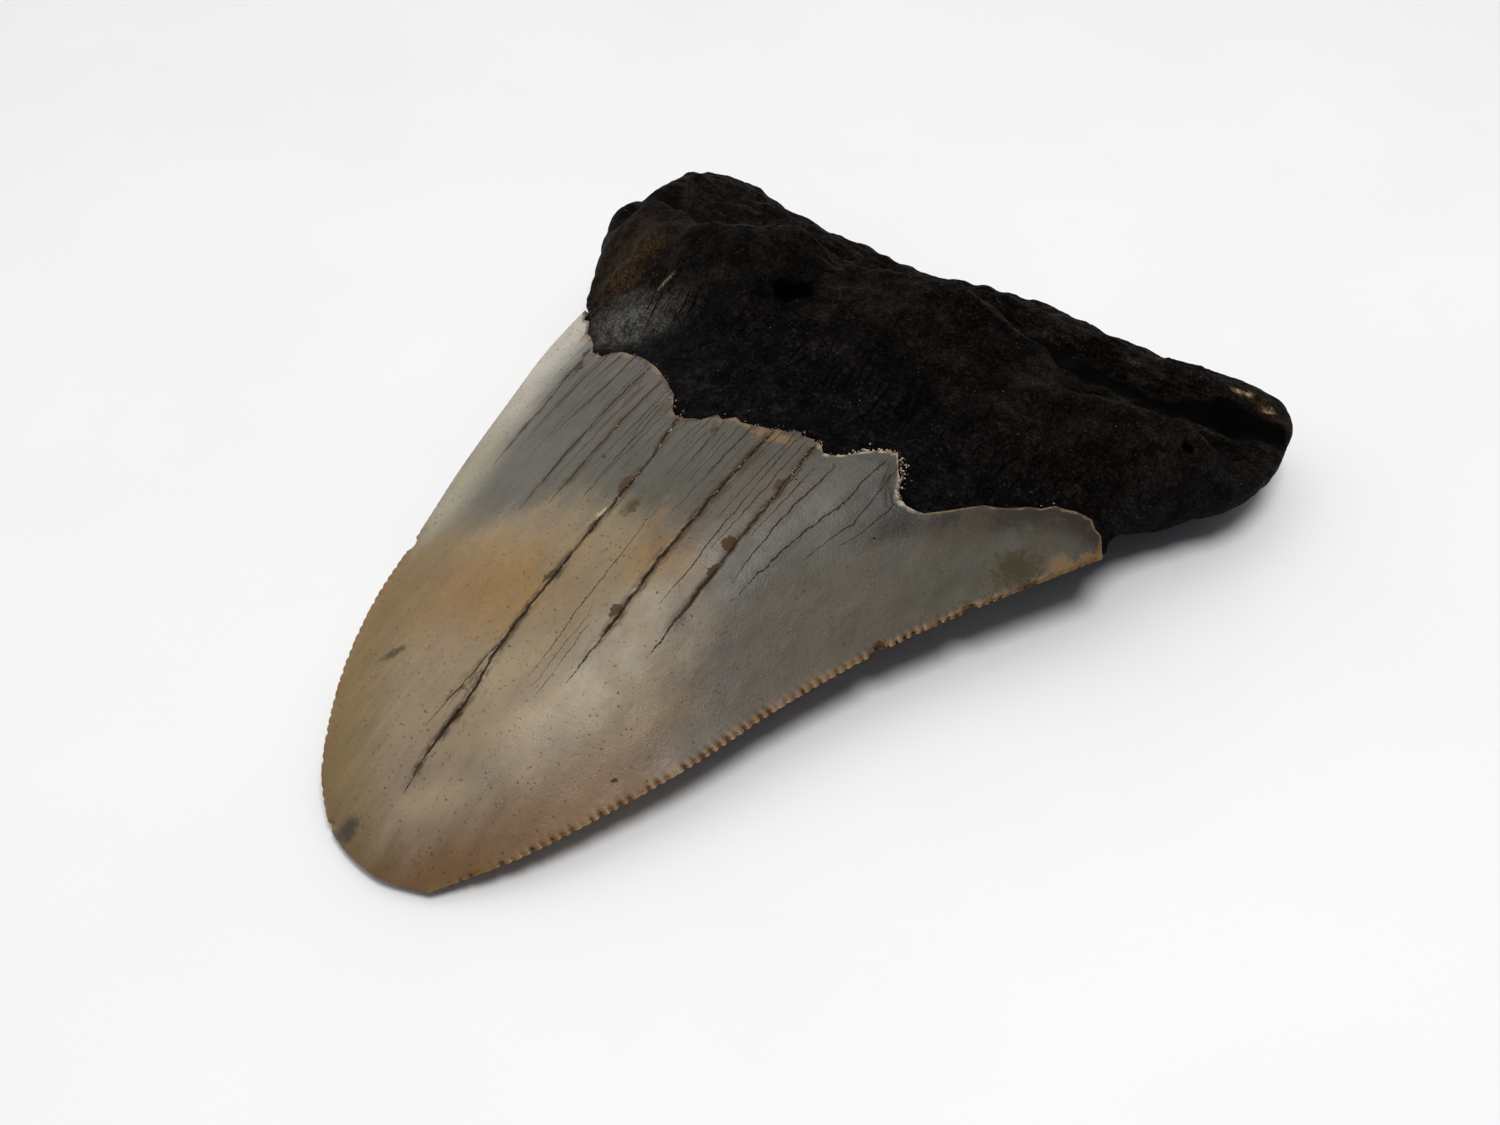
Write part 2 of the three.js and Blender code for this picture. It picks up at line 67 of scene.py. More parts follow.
# Broken upper end of the enamel on the tongue side, and its smoother end on the lip side.
LEDGE = [
    (-31.8, 14.8), (-28, 11), (-25.5, 9), (-23.4, 7.1), (-21, 8.8), (-18, 8.1), (-15.2, 7.2), (-12.3, 5.2),
    (-10, 3.6), (-8.2, 1.4), (-6.9, 1.4), (-3, 3.4), (0.7, 4.1), (3.8, 5.6), (6.4, 5.2), (8.2, 5.7),
    (9.4, 7.8), (11.9, 10), (13.4, 8.3), (14.8, 5.6), (17.8, 7), (21.4, 12), (25.9, 16.6), (28.4, 18),
    (30.2, 18), (32, 15.2),
]
LEDGE_STEP = 0.8
LEDGE_JAG = 0.011
LIP_LEDGE = [(-31.8, 14.8), (-22, 18.4), (-11, 20.8), (1, 21.4), (12, 20.4), (23, 18), (32, 15.2)]
LIP_LEDGE_STEP = 0.4
LIP_LEDGE_JAG = 0.002
LEDGE_JAG_SIZE = 0.9
STEP_FADE = 0.3

# Heights of the rim, and of the tongue side above it. The crown's middle line rises steeply at first.
TIP_RIM_HEIGHT = 1.0
CORNER_RIM_HEIGHT = 7.5
CROWN_RIM = [(0, TIP_RIM_HEIGHT), (0.1, 2.5), (0.3, 4.2), (0.6, 5.8), (1, CORNER_RIM_HEIGHT)]
BACK_RIM_HEIGHT = 6.3
CROWN_BULGE = 8.2
CROWN_RISE_STEEP = 2.2
CROWN_RISE_ROUND = 0.75
CREST_BULGE = [
    (-1, 8), (-0.75, 9.5), (-0.5, 12.2), (-0.28, 13.9), (-0.15, 11.4), (0, 11.9), (0.12, 12.8), (0.22, 11.8),
    (0.34, 9.2), (0.5, 8.5), (0.65, 7.6), (0.85, 7.9), (1, 6.8),
]
CREST_PLACE = [(-1, 0.5), (-0.5, 0.44), (-0.28, 0.56), (0.1, 0.58), (0.35, 0.58), (0.6, 0.48), (1, 0.5)]
ROOT_PROFILE = [
    (0, 0.66), (0.15, 0.78), (0.3, 0.91), (0.42, 0.985), (0.5, 1), (0.55, 0.93), (0.6, 0.66), (0.65, 0.38),
    (0.72, 0.31), (0.8, 0.33), (0.9, 0.33), (1, 0.29),
]
LIP_PROFILE = [
    (0, 1), (0.05, 0.25), (0.13, 0), (0.5, 1.8), (0.8, 2.6), (1, 2.2), (1.25, 0.6), (1.4, -0.4), (1.8, -0.4),
    (2, 0.5),
]
BASAL_ARCH = 1.6
BASAL_ARCH_ALONG = (1.05, 1.5)
BASAL_ARCH_SIDE = (0.15, 0.5)
EDGE_FADE = 0.9
ROOT_END_FADE = 5
BACK_ROUNDING = 0.12

# Grooves and swellings of the root: path, width and height.
ROOT_RELIEF = [
    ([(-23, 37), (-14, 36), (-5, 36.5), (4, 38), (12, 39), (21, 38.5), (31, 38.5), (38, 40)], 1.5, -1.3),
    ([(14, 40), (24, 41.4), (33, 43)], 2.4, 1.2),
    ([(20, 29.5), (24, 31.5), (29, 33.5), (35, 35.5)], 1.5, -2.8),
    ([(-32, 26.5), (-27, 25), (-22, 24.8), (-16, 25.5), (-11, 29)], 1.3, -1.3),
    ([(-21, 31), (-14, 32.5)], 1.2, -0.9),
    ([(16.5, 27.5), (21, 24), (24, 22.3), (28, 20.5)], 2.6, -0.9),
    ([(-29, 17.6), (-28, 20.6)], 2.6, 0.9),
    ([(-36.5, 35), (-35, 38.5)], 3, 2.6),
    ([(-36.8, 26.2), (-35.8, 28)], 2, -2.8),
    ([(-22.7, 15.9), (-21.3, 17.9)], 0.3, 0.25),
]
LUMP_HEIGHT = 0.32
RELIEF_FADE = 0.12
OUTLINE_WANDER = 0.3
OUTLINE_WANDER_SIZE = 3.1

# Small pits of the root: centre, radii along and across their turn, turn, and depth.
ROOT_PITS = [
    ((-8.4, 19.9), (1.2, 0.8), 0.8, 2.6),
    ((-7.3, 21.2), (1.2, 0.8), 0.8, 2.2),
    ((33.1, 28.9), (0.65, 0.45), 0.5, 1.0),
]
PIT_WALL = (0.45, 1.15)

# Painted shade in the crevice behind the right part of the crest, a darkening of its colour only: path,
# half-width and darkness.
CREVICE_SHADE = [([(9.5, 34.5), (12.5, 36.8), (19.3, 36.8), (25.5, 37), (30.6, 38.8), (38, 40.8)], 1.5, 0.9)]

# Groups of short parallel scores of the root: middle, turn, length, spacing, count and half-width.
ROOT_SCORES = [
    ((-19.5, 15.2), 1.7, 3.0, 0.62, 13, 0.09), ((-10.5, 14), 1.6, 2.4, 1.0, 7, 0.09),
    ((3.2, 14.6), 1.64, 3.6, 1.0, 15, 0.13), ((2, 10.2), 1.6, 2.2, 0.9, 10, 0.08),
    ((16, 16.5), 1.55, 2.8, 1.2, 9, 0.11), ((24, 20.2), 1.4, 2.0, 1.1, 6, 0.1),
]
SCORE_TAPER = 0.8
SCORE_REACH = 0.3
SCORE_RAGGED = 0.12

# Chips of the cutting edges: centre and radius.
EDGE_CHIPS = [((-24.5, -21), 1.2), ((-8.6, -46.6), 0.55), ((21.3, -6.2), 1.2), ((25.3, 2.7), 1.0)]

# Cracks down the crown: path from the ledge towards the tip, and half-width.
STRONG_CRACKS = [
    ([(-7.7, 2), (-6.4, -4.4), (-6, -12), (-5.2, -26.8), (-4.2, -33), (-4, -38), (-3.6, -42.6)], 0.14),
    ([(1.5, 5), (1.3, -4), (1.4, -14), (1.8, -22), (2, -27.4)], 0.1),
    ([(5.6, 6), (5.8, -3), (5.9, -12), (5.9, -20.7)], 0.09),
    ([(11.6, 8), (10.9, 1.8), (9.6, -3.8), (8.8, -9), (8.4, -12.5)], 0.06),
]
FINE_CRACKS = [
    ([(-25.6, 9.5), (-24.2, 1.9), (-23.4, -4.5), (-22.9, -10)], 0.1),
    ([(-22.3, 8), (-22.2, -0.1), (-21.6, -6)], 0.08),
    ([(-20.6, 8.8), (-21, 0.7)], 0.07),
    ([(-18.8, 8.5), (-18.6, 1.7), (-19.2, -5.4)], 0.09),
    ([(-15.7, 7), (-15.7, -1), (-15.2, -7.8), (-14.6, -15)], 0.13),
    ([(-13, 5.5), (-12.8, -1.3), (-12, -13.5)], 0.11),
    ([(-10.2, 3), (-9.7, -5), (-9.2, -12)], 0.05),
    ([(-5.2, -26), (-5.6, -32.6), (-5.8, -37)], 0.09),
    ([(-4.6, 3), (-4.7, -2)], 0.05),
    ([(-3.2, 3.6), (-2.8, -3.5)], 0.05),
    ([(-2.1, -7.9), (-1.7, -15.9), (-1.2, -23.4), (-0.9, -29.1)], 0.035),
    ([(-0.4, 4.2), (-0.5, -4.6)], 0.05),
    ([(0.2, -21.3), (0.6, -29.8)], 0.03),
    ([(3.7, 4.5), (3.8, -2.7), (4, -10), (3.9, -16.7)], 0.045),
    ([(8.5, 5), (7.7, -0.8), (7.5, -10.9)], 0.06),
    ([(12.9, 7.5), (12.8, 1.3), (11.1, -4.7)], 0.05),
    ([(14.6, 5), (13.8, 0.7), (12.9, -1.4)], 0.05),
]
HAIRLINE_PLACES = (-26.5, 8.0)
HAIRLINE_SPACING = 1.25
HAIRLINE_LENGTH = (6.0, 15.0)
HAIRLINE_WIDTH = (0.03, 0.05)
HAIRLINE_SHIFT = 0.35
HAIRLINE_STARTS = (0.1, 0.1, 3.0)
HAIRLINE_MIDDLE = -5
HAIRLINE_LEAN = 0.003
CRACK_DEPTH = 0.16
CRACK_CUT_HALF_WIDTH = 0.1
CRACK_TAPER = 7.0
CRACK_REACH = 0.8
CRACK_RAGGED = {"main": 0.34, "fine_a": 0.12, "fine_b": 0.12, "hair_a": 0.05, "hair_b": 0.05}
CRACK_WANDER = ((5.0, 0.16), (1.1, 0.14), (0.45, 0.05))

# Serrations: how deep wear leaves each, its half-width as a share of the pitch, and how far in it reaches.
SERRATIONS = 75
SERRATION_DEPTH = 0.32
SERRATION_WEAR = (0.2, 1.2)
SERRATION_WIDTH = (0.12, 0.27)
SERRATION_REACH = 0.45
NOTCH_REACH = 0.8
NOTCH_DIP = 0.12
CHIP_REACH = 1.4
LEFT_WEAR = 0.4

# Fine relief of the enamel, and of the crumbled strip below its ledge.
CROWN_RELIEF = 0.06
CROWN_RELIEF_SIZE = 7
LEDGE_CRUMBLE = 0.22
LEDGE_CRUMBLE_SIZE = 0.8
LEDGE_CRUMBLE_REACH = 0.7
EDGE_MARGIN = 1.2

# Fine relief of the root: size and stretch of its lumps, height before the crest, more behind it, and seed.
ROOT_TEXTURE = [
    (4.5, 1.0, 0.15, 0.25, 1.0), (1.8, 1.0, 0.06, 0.12, 21.0), (1.2, 0.3, 0.03, 0.34, 6.0),
    (0.9, 1.0, 0.05, 0.05, 4.0),
]
BEHIND_CREST = (1.42, 1.62)
PORE_DEPTH = 0.9
PORE_SIZE = 0.8
PORE_SHARE = 0.55
TEXTURE_FADE = 0.05
LIP_TEXTURE_SHIFT = 0.5
LIP_TEXTURE_LIFT = 0.15
ROOT_TUCK = 0.8
TUCK_ALONG = (0.995, 1.03)
WARP_ALONG = (1.0, 1.06)

# Grids: rows, columns, the places of the columns near the edges and cracks, and the cells between those.
ROWS_PER_SERRATION = 7
EDGE_COLUMNS_MM = np.array([0, 0.1, 0.22, 0.38, 0.58, 0.85, 1.2])
CRACK_COLUMNS_MM = np.array([-0.5, -0.27, -0.12, 0, 0.12, 0.27, 0.5])
CELLS_BETWEEN = (26, 9, 6, 6, 22)
TIP_PLACES = (0.42, 0.56, 0.68, 0.82)
LIP_COLUMNS = 26
WALL_DEPTH = 1.6
LIP_WALL_DEPTH = 0.8
ROOT_ROWS = 190
ROOT_COLUMNS = 290
ROOT_LIP_COLUMNS = 110
ROOT_START = -0.03
SHARP_ANGLE = 48
SPLINE_STEPS = 60
SEARCH_STEPS = 26
LEDGE_SEARCH = (0.6, 1.5)
LEDGE_SAMPLES = np.linspace(0, 1, 1601)
GRID_SEARCH = 241
FAR = 9.0
MIDDLE_GAP = 12.0

# Mineral grains of the broken ledge, and of the long cracks.
CRYSTALS = 560
CRYSTAL_SIZE = (0.05, 0.17)
CRYSTAL_CRACKS = (*STRONG_CRACKS[:3], *FINE_CRACKS[4:6], STRONG_CRACKS[0])
LEDGE_CROWD = (0.6, 0.05)
LEDGE_SHARES = (0.12, 0.9)
CRYSTAL_STRETCH = (7.5, 15.5)
OCTAHEDRON = [(1, 0, 0), (-1, 0, 0), (0, 1, 0), (0, -1, 0), (0, 0, 1), (0, 0, -1)]
OCTAHEDRON_FACES = [(0, 2, 4), (2, 1, 4), (1, 3, 4), (3, 0, 4), (2, 0, 5), (1, 2, 5), (3, 1, 5), (0, 3, 5)]


# Curves, tables and distances

def spline(points):
    """A smooth curve through points, as a function of its share of the length."""
    p = np.array(points, float)
    q = np.vstack([p[0], p, p[-1]])
    t = np.linspace(0, 1, SPLINE_STEPS, endpoint=False)[:, None]
    pieces = []
    for a, b, c, d in zip(q, q[1:], q[2:], q[3:]):
        start, end = (c - a) / 2, (d - b) / 2
        bend = (2 * b - 2 * c + start + end) * t ** 3 + (3 * c - 3 * b - 2 * start - end) * t ** 2
        pieces.append(bend + start * t + b)
    line = np.vstack(pieces + [p[-1:]])
    share = np.r_[0, np.cumsum(np.linalg.norm(np.diff(line, axis=0), axis=1))]
    share /= share[-1]
    return lambda k: np.stack([np.interp(k, share, line[:, 0]), np.interp(k, share, line[:, 1])], -1)


def smooth_table(points):
    """A smooth height through a table of places and values."""
    x, y = np.array(points, float).T
    slope = np.r_[
        (y[1] - y[0]) / (x[1] - x[0]), (y[2:] - y[:-2]) / (x[2:] - x[:-2]), (y[-1] - y[-2]) / (x[-1] - x[-2])]

    def read(place):
        place = np.clip(place, x[0], x[-1])
        k = np.clip(np.searchsorted(x, place, side="right") - 1, 0, len(x) - 2)
        h = x[k + 1] - x[k]
        t = (place - x[k]) / h
        start = (1 + 2 * t) * (1 - t) ** 2 * y[k] + t * (1 - t) ** 2 * h * slope[k]
        end = t * t * (3 - 2 * t) * y[k + 1] + t * t * (t - 1) * h * slope[k + 1]
        return start + end

    return read


def straight_table(place, points):
    """The value at a place, on straight lines between a table's places and values."""
    return np.interp(place, *np.array(points, float).T)


def ease(x, low, high):
    """0 below low, 1 above high, and a smooth step between."""
    t = np.clip((x - low) / (high - low), 0, 1)
    return t * t * (3 - 2 * t)


def turning_point(low, high, is_low):
    """Where a test turns from true to false, for many places at once."""
    for _ in range(SEARCH_STEPS):
        middle = (low + high) / 2
        below = is_low(middle)
        low = np.where(below, middle, low)
        high = np.where(below, high, middle)
    return (low + high) / 2


def turned_distance(xy, spot):
    """Distance to the middle of an oval, with 1 at its edge. The oval is a centre, two radii and a turn."""
    (cx, cy), (long, short), turn = spot
    dx, dy = xy[..., 0] - cx, xy[..., 1] - cy
    along = (dx * math.cos(turn) + dy * math.sin(turn)) / long
    across = (dy * math.cos(turn) - dx * math.sin(turn)) / short
    return np.hypot(along, across)


def distance_to_path(xy, path):
    """Distance to a path, its sign by the side of it, and the nearest place's share of the path's length."""
    x, y = xy[..., 0], xy[..., 1]
    signed = np.full(x.shape, np.inf)
    share = np.zeros(x.shape)
    lengths = [math.dist(a, b) for a, b in zip(path, path[1:])]
    passed = 0.0
    for (ax, ay), (bx, by), length in zip(path, path[1:], lengths):
        dx, dy = (bx - ax) / length, (by - ay) / length
        along = np.clip((x - ax) * dx + (y - ay) * dy, 0, length)
        px, py = x - ax - along * dx, y - ay - along * dy
        distance = np.hypot(px, py)
        closer = distance < np.abs(signed)
        signed = np.where(closer, np.where(dx * py - dy * px < 0, -distance, distance), signed)
        share = np.where(closer, (passed + along) / sum(lengths), share)
        passed += length
    return signed, share


def rough(xy, size, octaves, seed):
    """Fractal noise of about -1 to 1 at places seen from above, with lumps of the given size."""
    shift = Vector((seed, seed * 0.7, -seed))
    places = xy.reshape(-1, 2) / size
    values = [noise.fractal(Vector((x, y, 0)) + shift, 1.0, 2.0, octaves) for x, y in places]
    return np.array(values).reshape(xy.shape[:-1])


# The tooth's surface

tip_edge, left_edge, right_edge = spline(TIP_EDGE), spline(LEFT_EDGE), spline(RIGHT_EDGE)
waist, root_left, root_right, root_back = (
    spline(WAIST), spline(ROOT_LEFT), spline(ROOT_RIGHT), spline(ROOT_BACK))
crown_rim = smooth_table(CROWN_RIM)
crest_bulge, crest_place = smooth_table(CREST_BULGE), smooth_table(CREST_PLACE)
root_profile, lip_profile = smooth_table(ROOT_PROFILE), smooth_table(LIP_PROFILE)


def coons(across, along, low, high, left, right):
    """Places of a patch between four curves."""
    u, v = across[..., None], along[..., None]
    edges = (1 - v) * low(across) + v * high(across) + (1 - u) * left(along) + u * right(along)
    corners = (1 - u) * (1 - v) * low(0) + u * (1 - v) * low(1) + (1 - u) * v * high(0) + u * v * high(1)
    return edges - corners


def plan(across, along):
    """Place seen from above. Across is 0 at the left and 1 at the right.

    Along is 0 at the tip, 1 at the waist and 2 at the back.
    """
    crown = coons(across, np.clip(along, 0, 1), tip_edge, waist, left_edge, right_edge)
    root = coons(across, np.clip(along - 1, 0, 1), waist, root_back, root_left, root_right)
    return np.where((along <= 1)[..., None], crown, root)


def rim_height(along):
    crown = crown_rim(along)
    root = CORNER_RIM_HEIGHT + (BACK_RIM_HEIGHT - CORNER_RIM_HEIGHT) * ease(along - 1, 0, 1)
    return np.where(along <= 1, crown, root)


def crown_arch(side):
    return 0.5 * (1 - side * side) + 0.5 * np.cos(np.pi * side / 2) ** 2


def round_end(side):
    return np.sqrt(np.maximum(1 - np.abs(side) ** ROOT_END_FADE, 0))


def round_back(along):
    past = np.maximum(along - 2 + BACK_ROUNDING, 0) / BACK_ROUNDING
    return np.sqrt(np.maximum(1 - past ** 2, 0))


def tongue_height(across, along):
    side = 2 * across - 1
    t = np.clip(along, 0, 1)
    rise = (1 - (1 - t) ** CROWN_RISE_STEEP) ** CROWN_RISE_ROUND
    middle = TIP_RIM_HEIGHT + (CORNER_RIM_HEIGHT - TIP_RIM_HEIGHT) * t + CROWN_BULGE * rise
    crown = (middle - crown_rim(t)) * crown_arch(side)
    depth = np.clip(along - 1, 0, 1)
    crest = crest_place(side)
    place = np.where(depth < crest, 0.5 * depth / crest, 0.5 + 0.5 * (depth - crest) / (1 - crest))
    root = ease(depth, 0, 0.5)
    bulge = CROWN_BULGE * crown_arch(side) * (1 - root)
    bulge = bulge + crest_bulge(side) * round_end(side) * root_profile(place) * root
    return rim_height(along) + np.where(along <= 1, crown, bulge * round_back(along))


def lip_height(across, along):
    side = 2 * across - 1
    root = ease(along - 1, 0, 0.4)
    lens = np.maximum(1 - side * side, 0) ** EDGE_FADE * (1 - root) + round_end(side) * root
    arch = BASAL_ARCH * ease(along, *BASAL_ARCH_ALONG) * (1 - ease(np.abs(side), *BASAL_ARCH_SIDE))
    drop = (rim_height(along) - lip_profile(along) - arch) * lens * round_back(along)
    return np.maximum(rim_height(along) - drop, 0)


def lumps(xy):
    x, y = xy[..., 0], xy[..., 1]
    large = np.sin(0.71 * x + 0.39 * y + 0.6) * np.sin(0.83 * y - 0.27 * x + 1.1)
    small = np.sin(1.37 * x - 0.5 * y + 2.3) * np.sin(1.13 * y + 0.61 * x)
    return LUMP_HEIGHT * (large + 0.6 * small)


def ridges(xy, paths):
    """The height of rounded ridges along paths, or of grooves where their height is negative."""
    return sum(lift * np.exp(-(distance_to_path(xy, path)[0] / width) ** 2) for path, width, lift in paths)


def root_pits(xy):
    depth = np.zeros(xy.shape[:-1])
    for *spot, deep in ROOT_PITS:
        depth = np.maximum(depth, deep * (1 - ease(turned_distance(xy, spot), *PIT_WALL)))
    return depth


# The ledge, and the rows that bend to follow it

def ledge_rows(line, jag):
    """For each column of the grid, how far along it the ledge crosses it."""
    def is_crown(along):
        place = plan(LEDGE_SAMPLES, along)
        return place[:, 1] < straight_table(place[:, 0], line)

    start, end = (np.full(len(LEDGE_SAMPLES), along) for along in LEDGE_SEARCH)
    along = turning_point(start, end, is_crown)
    inner = ease(1 - np.abs(2 * LEDGE_SAMPLES - 1), 0, 0.05)
    length = np.cumsum(np.r_[0, np.linalg.norm(np.diff(plan(LEDGE_SAMPLES, along), axis=0), axis=1)])
    ragged = np.array([noise.fractal(Vector((s / LEDGE_JAG_SIZE, 3.3, 0)), 0.7, 2.0, 4) for s in length])
    return along + jag * ragged * inner


tongue_ledge = ledge_rows(LEDGE, LEDGE_JAG)
lip_ledge = ledge_rows(LIP_LEDGE, LIP_LEDGE_JAG)


def ledge_at(across, ledge):
    return np.interp(across, LEDGE_SAMPLES, ledge)


def crown_along(across, row, ledge):
    """A crown row, bent so that the last one, at 1, lies on the ledge."""
    return row + (ledge_at(across, ledge) - 1) * row ** 3


def root_along(across, row, ledge):
    """A root row, bent so that the first one, at 0, lies on the ledge."""
    return 1 + row + (ledge_at(across, ledge) - 1) * (1 - row) ** 3


# Meshes

class Shell:
    """Collects the vertices, faces and values of one closed mesh."""

    def __init__(self):
        self.points = []
        self.faces = []
        self.values = {}
        self.count = 0

    def add(self, points, **values):
        """Adds an array of points and returns their numbers in the same layout."""
        flat = points.reshape(-1, 3)
        numbers = np.arange(self.count, self.count + len(flat)).reshape(points.shape[:-1])
        self.points.append(flat)
        self.count += len(flat)
        for name, value in values.items():
            spread = np.broadcast_to(value, numbers.shape)
            self.values.setdefault(name, []).append((numbers.ravel(), spread.ravel()))
        return numbers

    def sheet(self, numbers, face_up):
        """Adds the four-sided faces of a grid of points."""
        a, b, c, d = numbers[:-1, :-1], numbers[:-1, 1:], numbers[1:, 1:], numbers[1:, :-1]
        corners = (a, b, c, d) if face_up else (a, d, c, b)
        self.faces += np.stack([k.ravel() for k in corners], -1).tolist()

    def stitch(self, near, far, face_up):
        """Joins two rows of different lengths that run side by side, each as (numbers, shares)."""
        (a, a_share), (b, b_share) = near, far
        i = k = 0
        while i < len(a) - 1 or k < len(b) - 1:
            if k == len(b) - 1 or (i < len(a) - 1 and a_share[i + 1] <= b_share[k + 1]):
                face = (a[i], a[i + 1], b[k])
                i += 1
            else:
                face = (a[i], b[k + 1], b[k])
                k += 1
            if len(set(face)) == 3:
                self.faces.append([int(n) for n in (face if face_up else face[::-1])])

    def piece(self, name, material):
        """Makes the object, with the values as attributes of its points."""
        mesh = bpy.data.meshes.new(name)
        mesh.from_pydata((np.vstack(self.points) * MM).tolist(), [], self.faces)
        for key, parts in self.values.items():
            layer = np.zeros(self.count, np.float32)
            for numbers, values in parts:
                layer[numbers] = values
            mesh.attributes.new(key, "FLOAT", "POINT").data.foreach_set("value", layer)
        mesh.shade_smooth()
        mesh.set_sharp_from_angle(angle=math.radians(SHARP_ANGLE))
        mesh.materials.append(material)
        mesh.validate()
        return new_object(name, mesh)


def new_object(name, data):
    made = bpy.data.objects.new(name, data)
    bpy.context.scene.collection.objects.link(made)
    return made


def with_height(xy, z):
    return np.concatenate([xy, np.broadcast_to(z, xy.shape[:-1])[..., None]], -1)


def column_block(start, end, cells):
    """Evenly spaced columns between two edges that are given for each row."""
    share = np.linspace(0, 1, cells + 1)[1:-1]
    return start[:, None] + (end - start)[:, None] * share


def crack_column(path, tip_place, rows):
    """The column that follows a crack, for each row. Past the crack it runs on to its place at the tip."""
    x, y = np.array(path, float)[::-1].T

    def place_at(across):
        return plan(across, crown_along(across, rows, tongue_ledge))

    def is_left(across):
        place = place_at(across)
        return place[:, 0] < np.interp(place[:, 1], y, x)

    column = turning_point(np.zeros(len(rows)), np.ones(len(rows)), is_left)
    end = int(np.argmax(place_at(column)[:, 1] > y[0]))
    past = ease(1 - rows / rows[end], 0, 0.6)
    column = np.where(rows < rows[end], column[end], column)
    return column + (tip_place - column) * past


def crown_width(rows):
    return np.linalg.norm(plan(np.ones(len(rows)), rows) - plan(np.zeros(len(rows)), rows), axis=1)


def crown_columns(rows):
    """The places of the columns for each row: closer at the edges and at the long cracks."""
    width = crown_width(rows)
    cracks = [crack_column(path, tip, rows) for (path, _), tip in zip(STRONG_CRACKS, TIP_PLACES)]
    left = EDGE_COLUMNS_MM / width[:, None]
    blocks = [left] + [c[:, None] + CRACK_COLUMNS_MM / width[:, None] for c in cracks] + [1 - left[:, ::-1]]
    columns = [blocks[0]]
    for before, after, cells in zip(blocks, blocks[1:], CELLS_BETWEEN):
        columns += [column_block(before[:, -1], after[:, 0], cells), after]
    return np.hstack(columns)


def hairlines():
    """Faint parallel cracks that start at the ledge, as paths and half-widths."""
    chance = random.Random(8)
    lines = []
    for place in np.arange(*HAIRLINE_PLACES, HAIRLINE_SPACING):
        x = place + chance.uniform(-HAIRLINE_SHIFT, HAIRLINE_SHIFT)
        start = straight_table(x, LEDGE) - chance.choice(HAIRLINE_STARTS)
        length = chance.uniform(*HAIRLINE_LENGTH)
        lean = HAIRLINE_LEAN * (HAIRLINE_MIDDLE - x)
        drift = (lean + chance.uniform(-0.02, 0.02)) * length
        bend = (x + drift * 0.4 + chance.uniform(-0.1, 0.1), start - length / 2)
        lines.append(([(x, start), bend, (x + drift, start - length)], chance.uniform(*HAIRLINE_WIDTH)))
    return lines


# Neighbouring cracks are in different groups, so that each keeps its own side-to-side distance.
HAIRLINES = hairlines()
CRACK_GROUPS = {
    "main": STRONG_CRACKS, "fine_a": FINE_CRACKS[::2], "fine_b": FINE_CRACKS[1::2],
    "hair_a": HAIRLINES[::2], "hair_b": HAIRLINES[1::2],
}


def crack_group(xy, cracks, fade, near):
    """Signed distance to the nearest crack of a group, and its half-width there."""
    line = np.full(xy.shape[:-1], np.inf)
    size = np.zeros(xy.shape[:-1])
    for path, half_width in cracks:
        signed, share = distance_to_path(xy, path)
        reach = math.dist(path[0], path[-1])
        taper = ease((1 - share) * reach, 0, fade)
        if path[0][1] < 0 or fade < CRACK_TAPER:  # Starts away from the ledge.
            taper = taper * ease(share * reach, 0, fade)
        closer = np.abs(signed) < np.abs(line)
        line = np.where(closer, signed, line)
        size = np.where(closer, half_width * (0.3 + 0.7 * taper) * ease(taper, 0, 0.02), size)
    return line, np.where(np.abs(line) < near, size, 0)


def line_values(xy, groups, fade, near):
    """The distances and half-widths of each group of cracks or scores."""
    values = {}
    for name, lines in groups.items():
        values["line_" + name], values["width_" + name] = crack_group(xy, lines, fade, near)
    return values


def crack_values(xy):
    """The distances and half-widths of each group of cracks, and how deep the main ones cut."""
    wander = sum(reach * rough(xy, size, 2, 5.0 + size) for size, reach in CRACK_WANDER)
    moved = np.stack([xy[..., 0] + wander, xy[..., 1]], -1)
    values = line_values(moved, CRACK_GROUPS, CRACK_TAPER, CRACK_REACH)
    line, width = values["line_main"], values["width_main"]
    open_share = ease(width, 0.07, 0.1)
    return values, CRACK_DEPTH * open_share * np.exp(-(line / CRACK_CUT_HALF_WIDTH) ** 2)


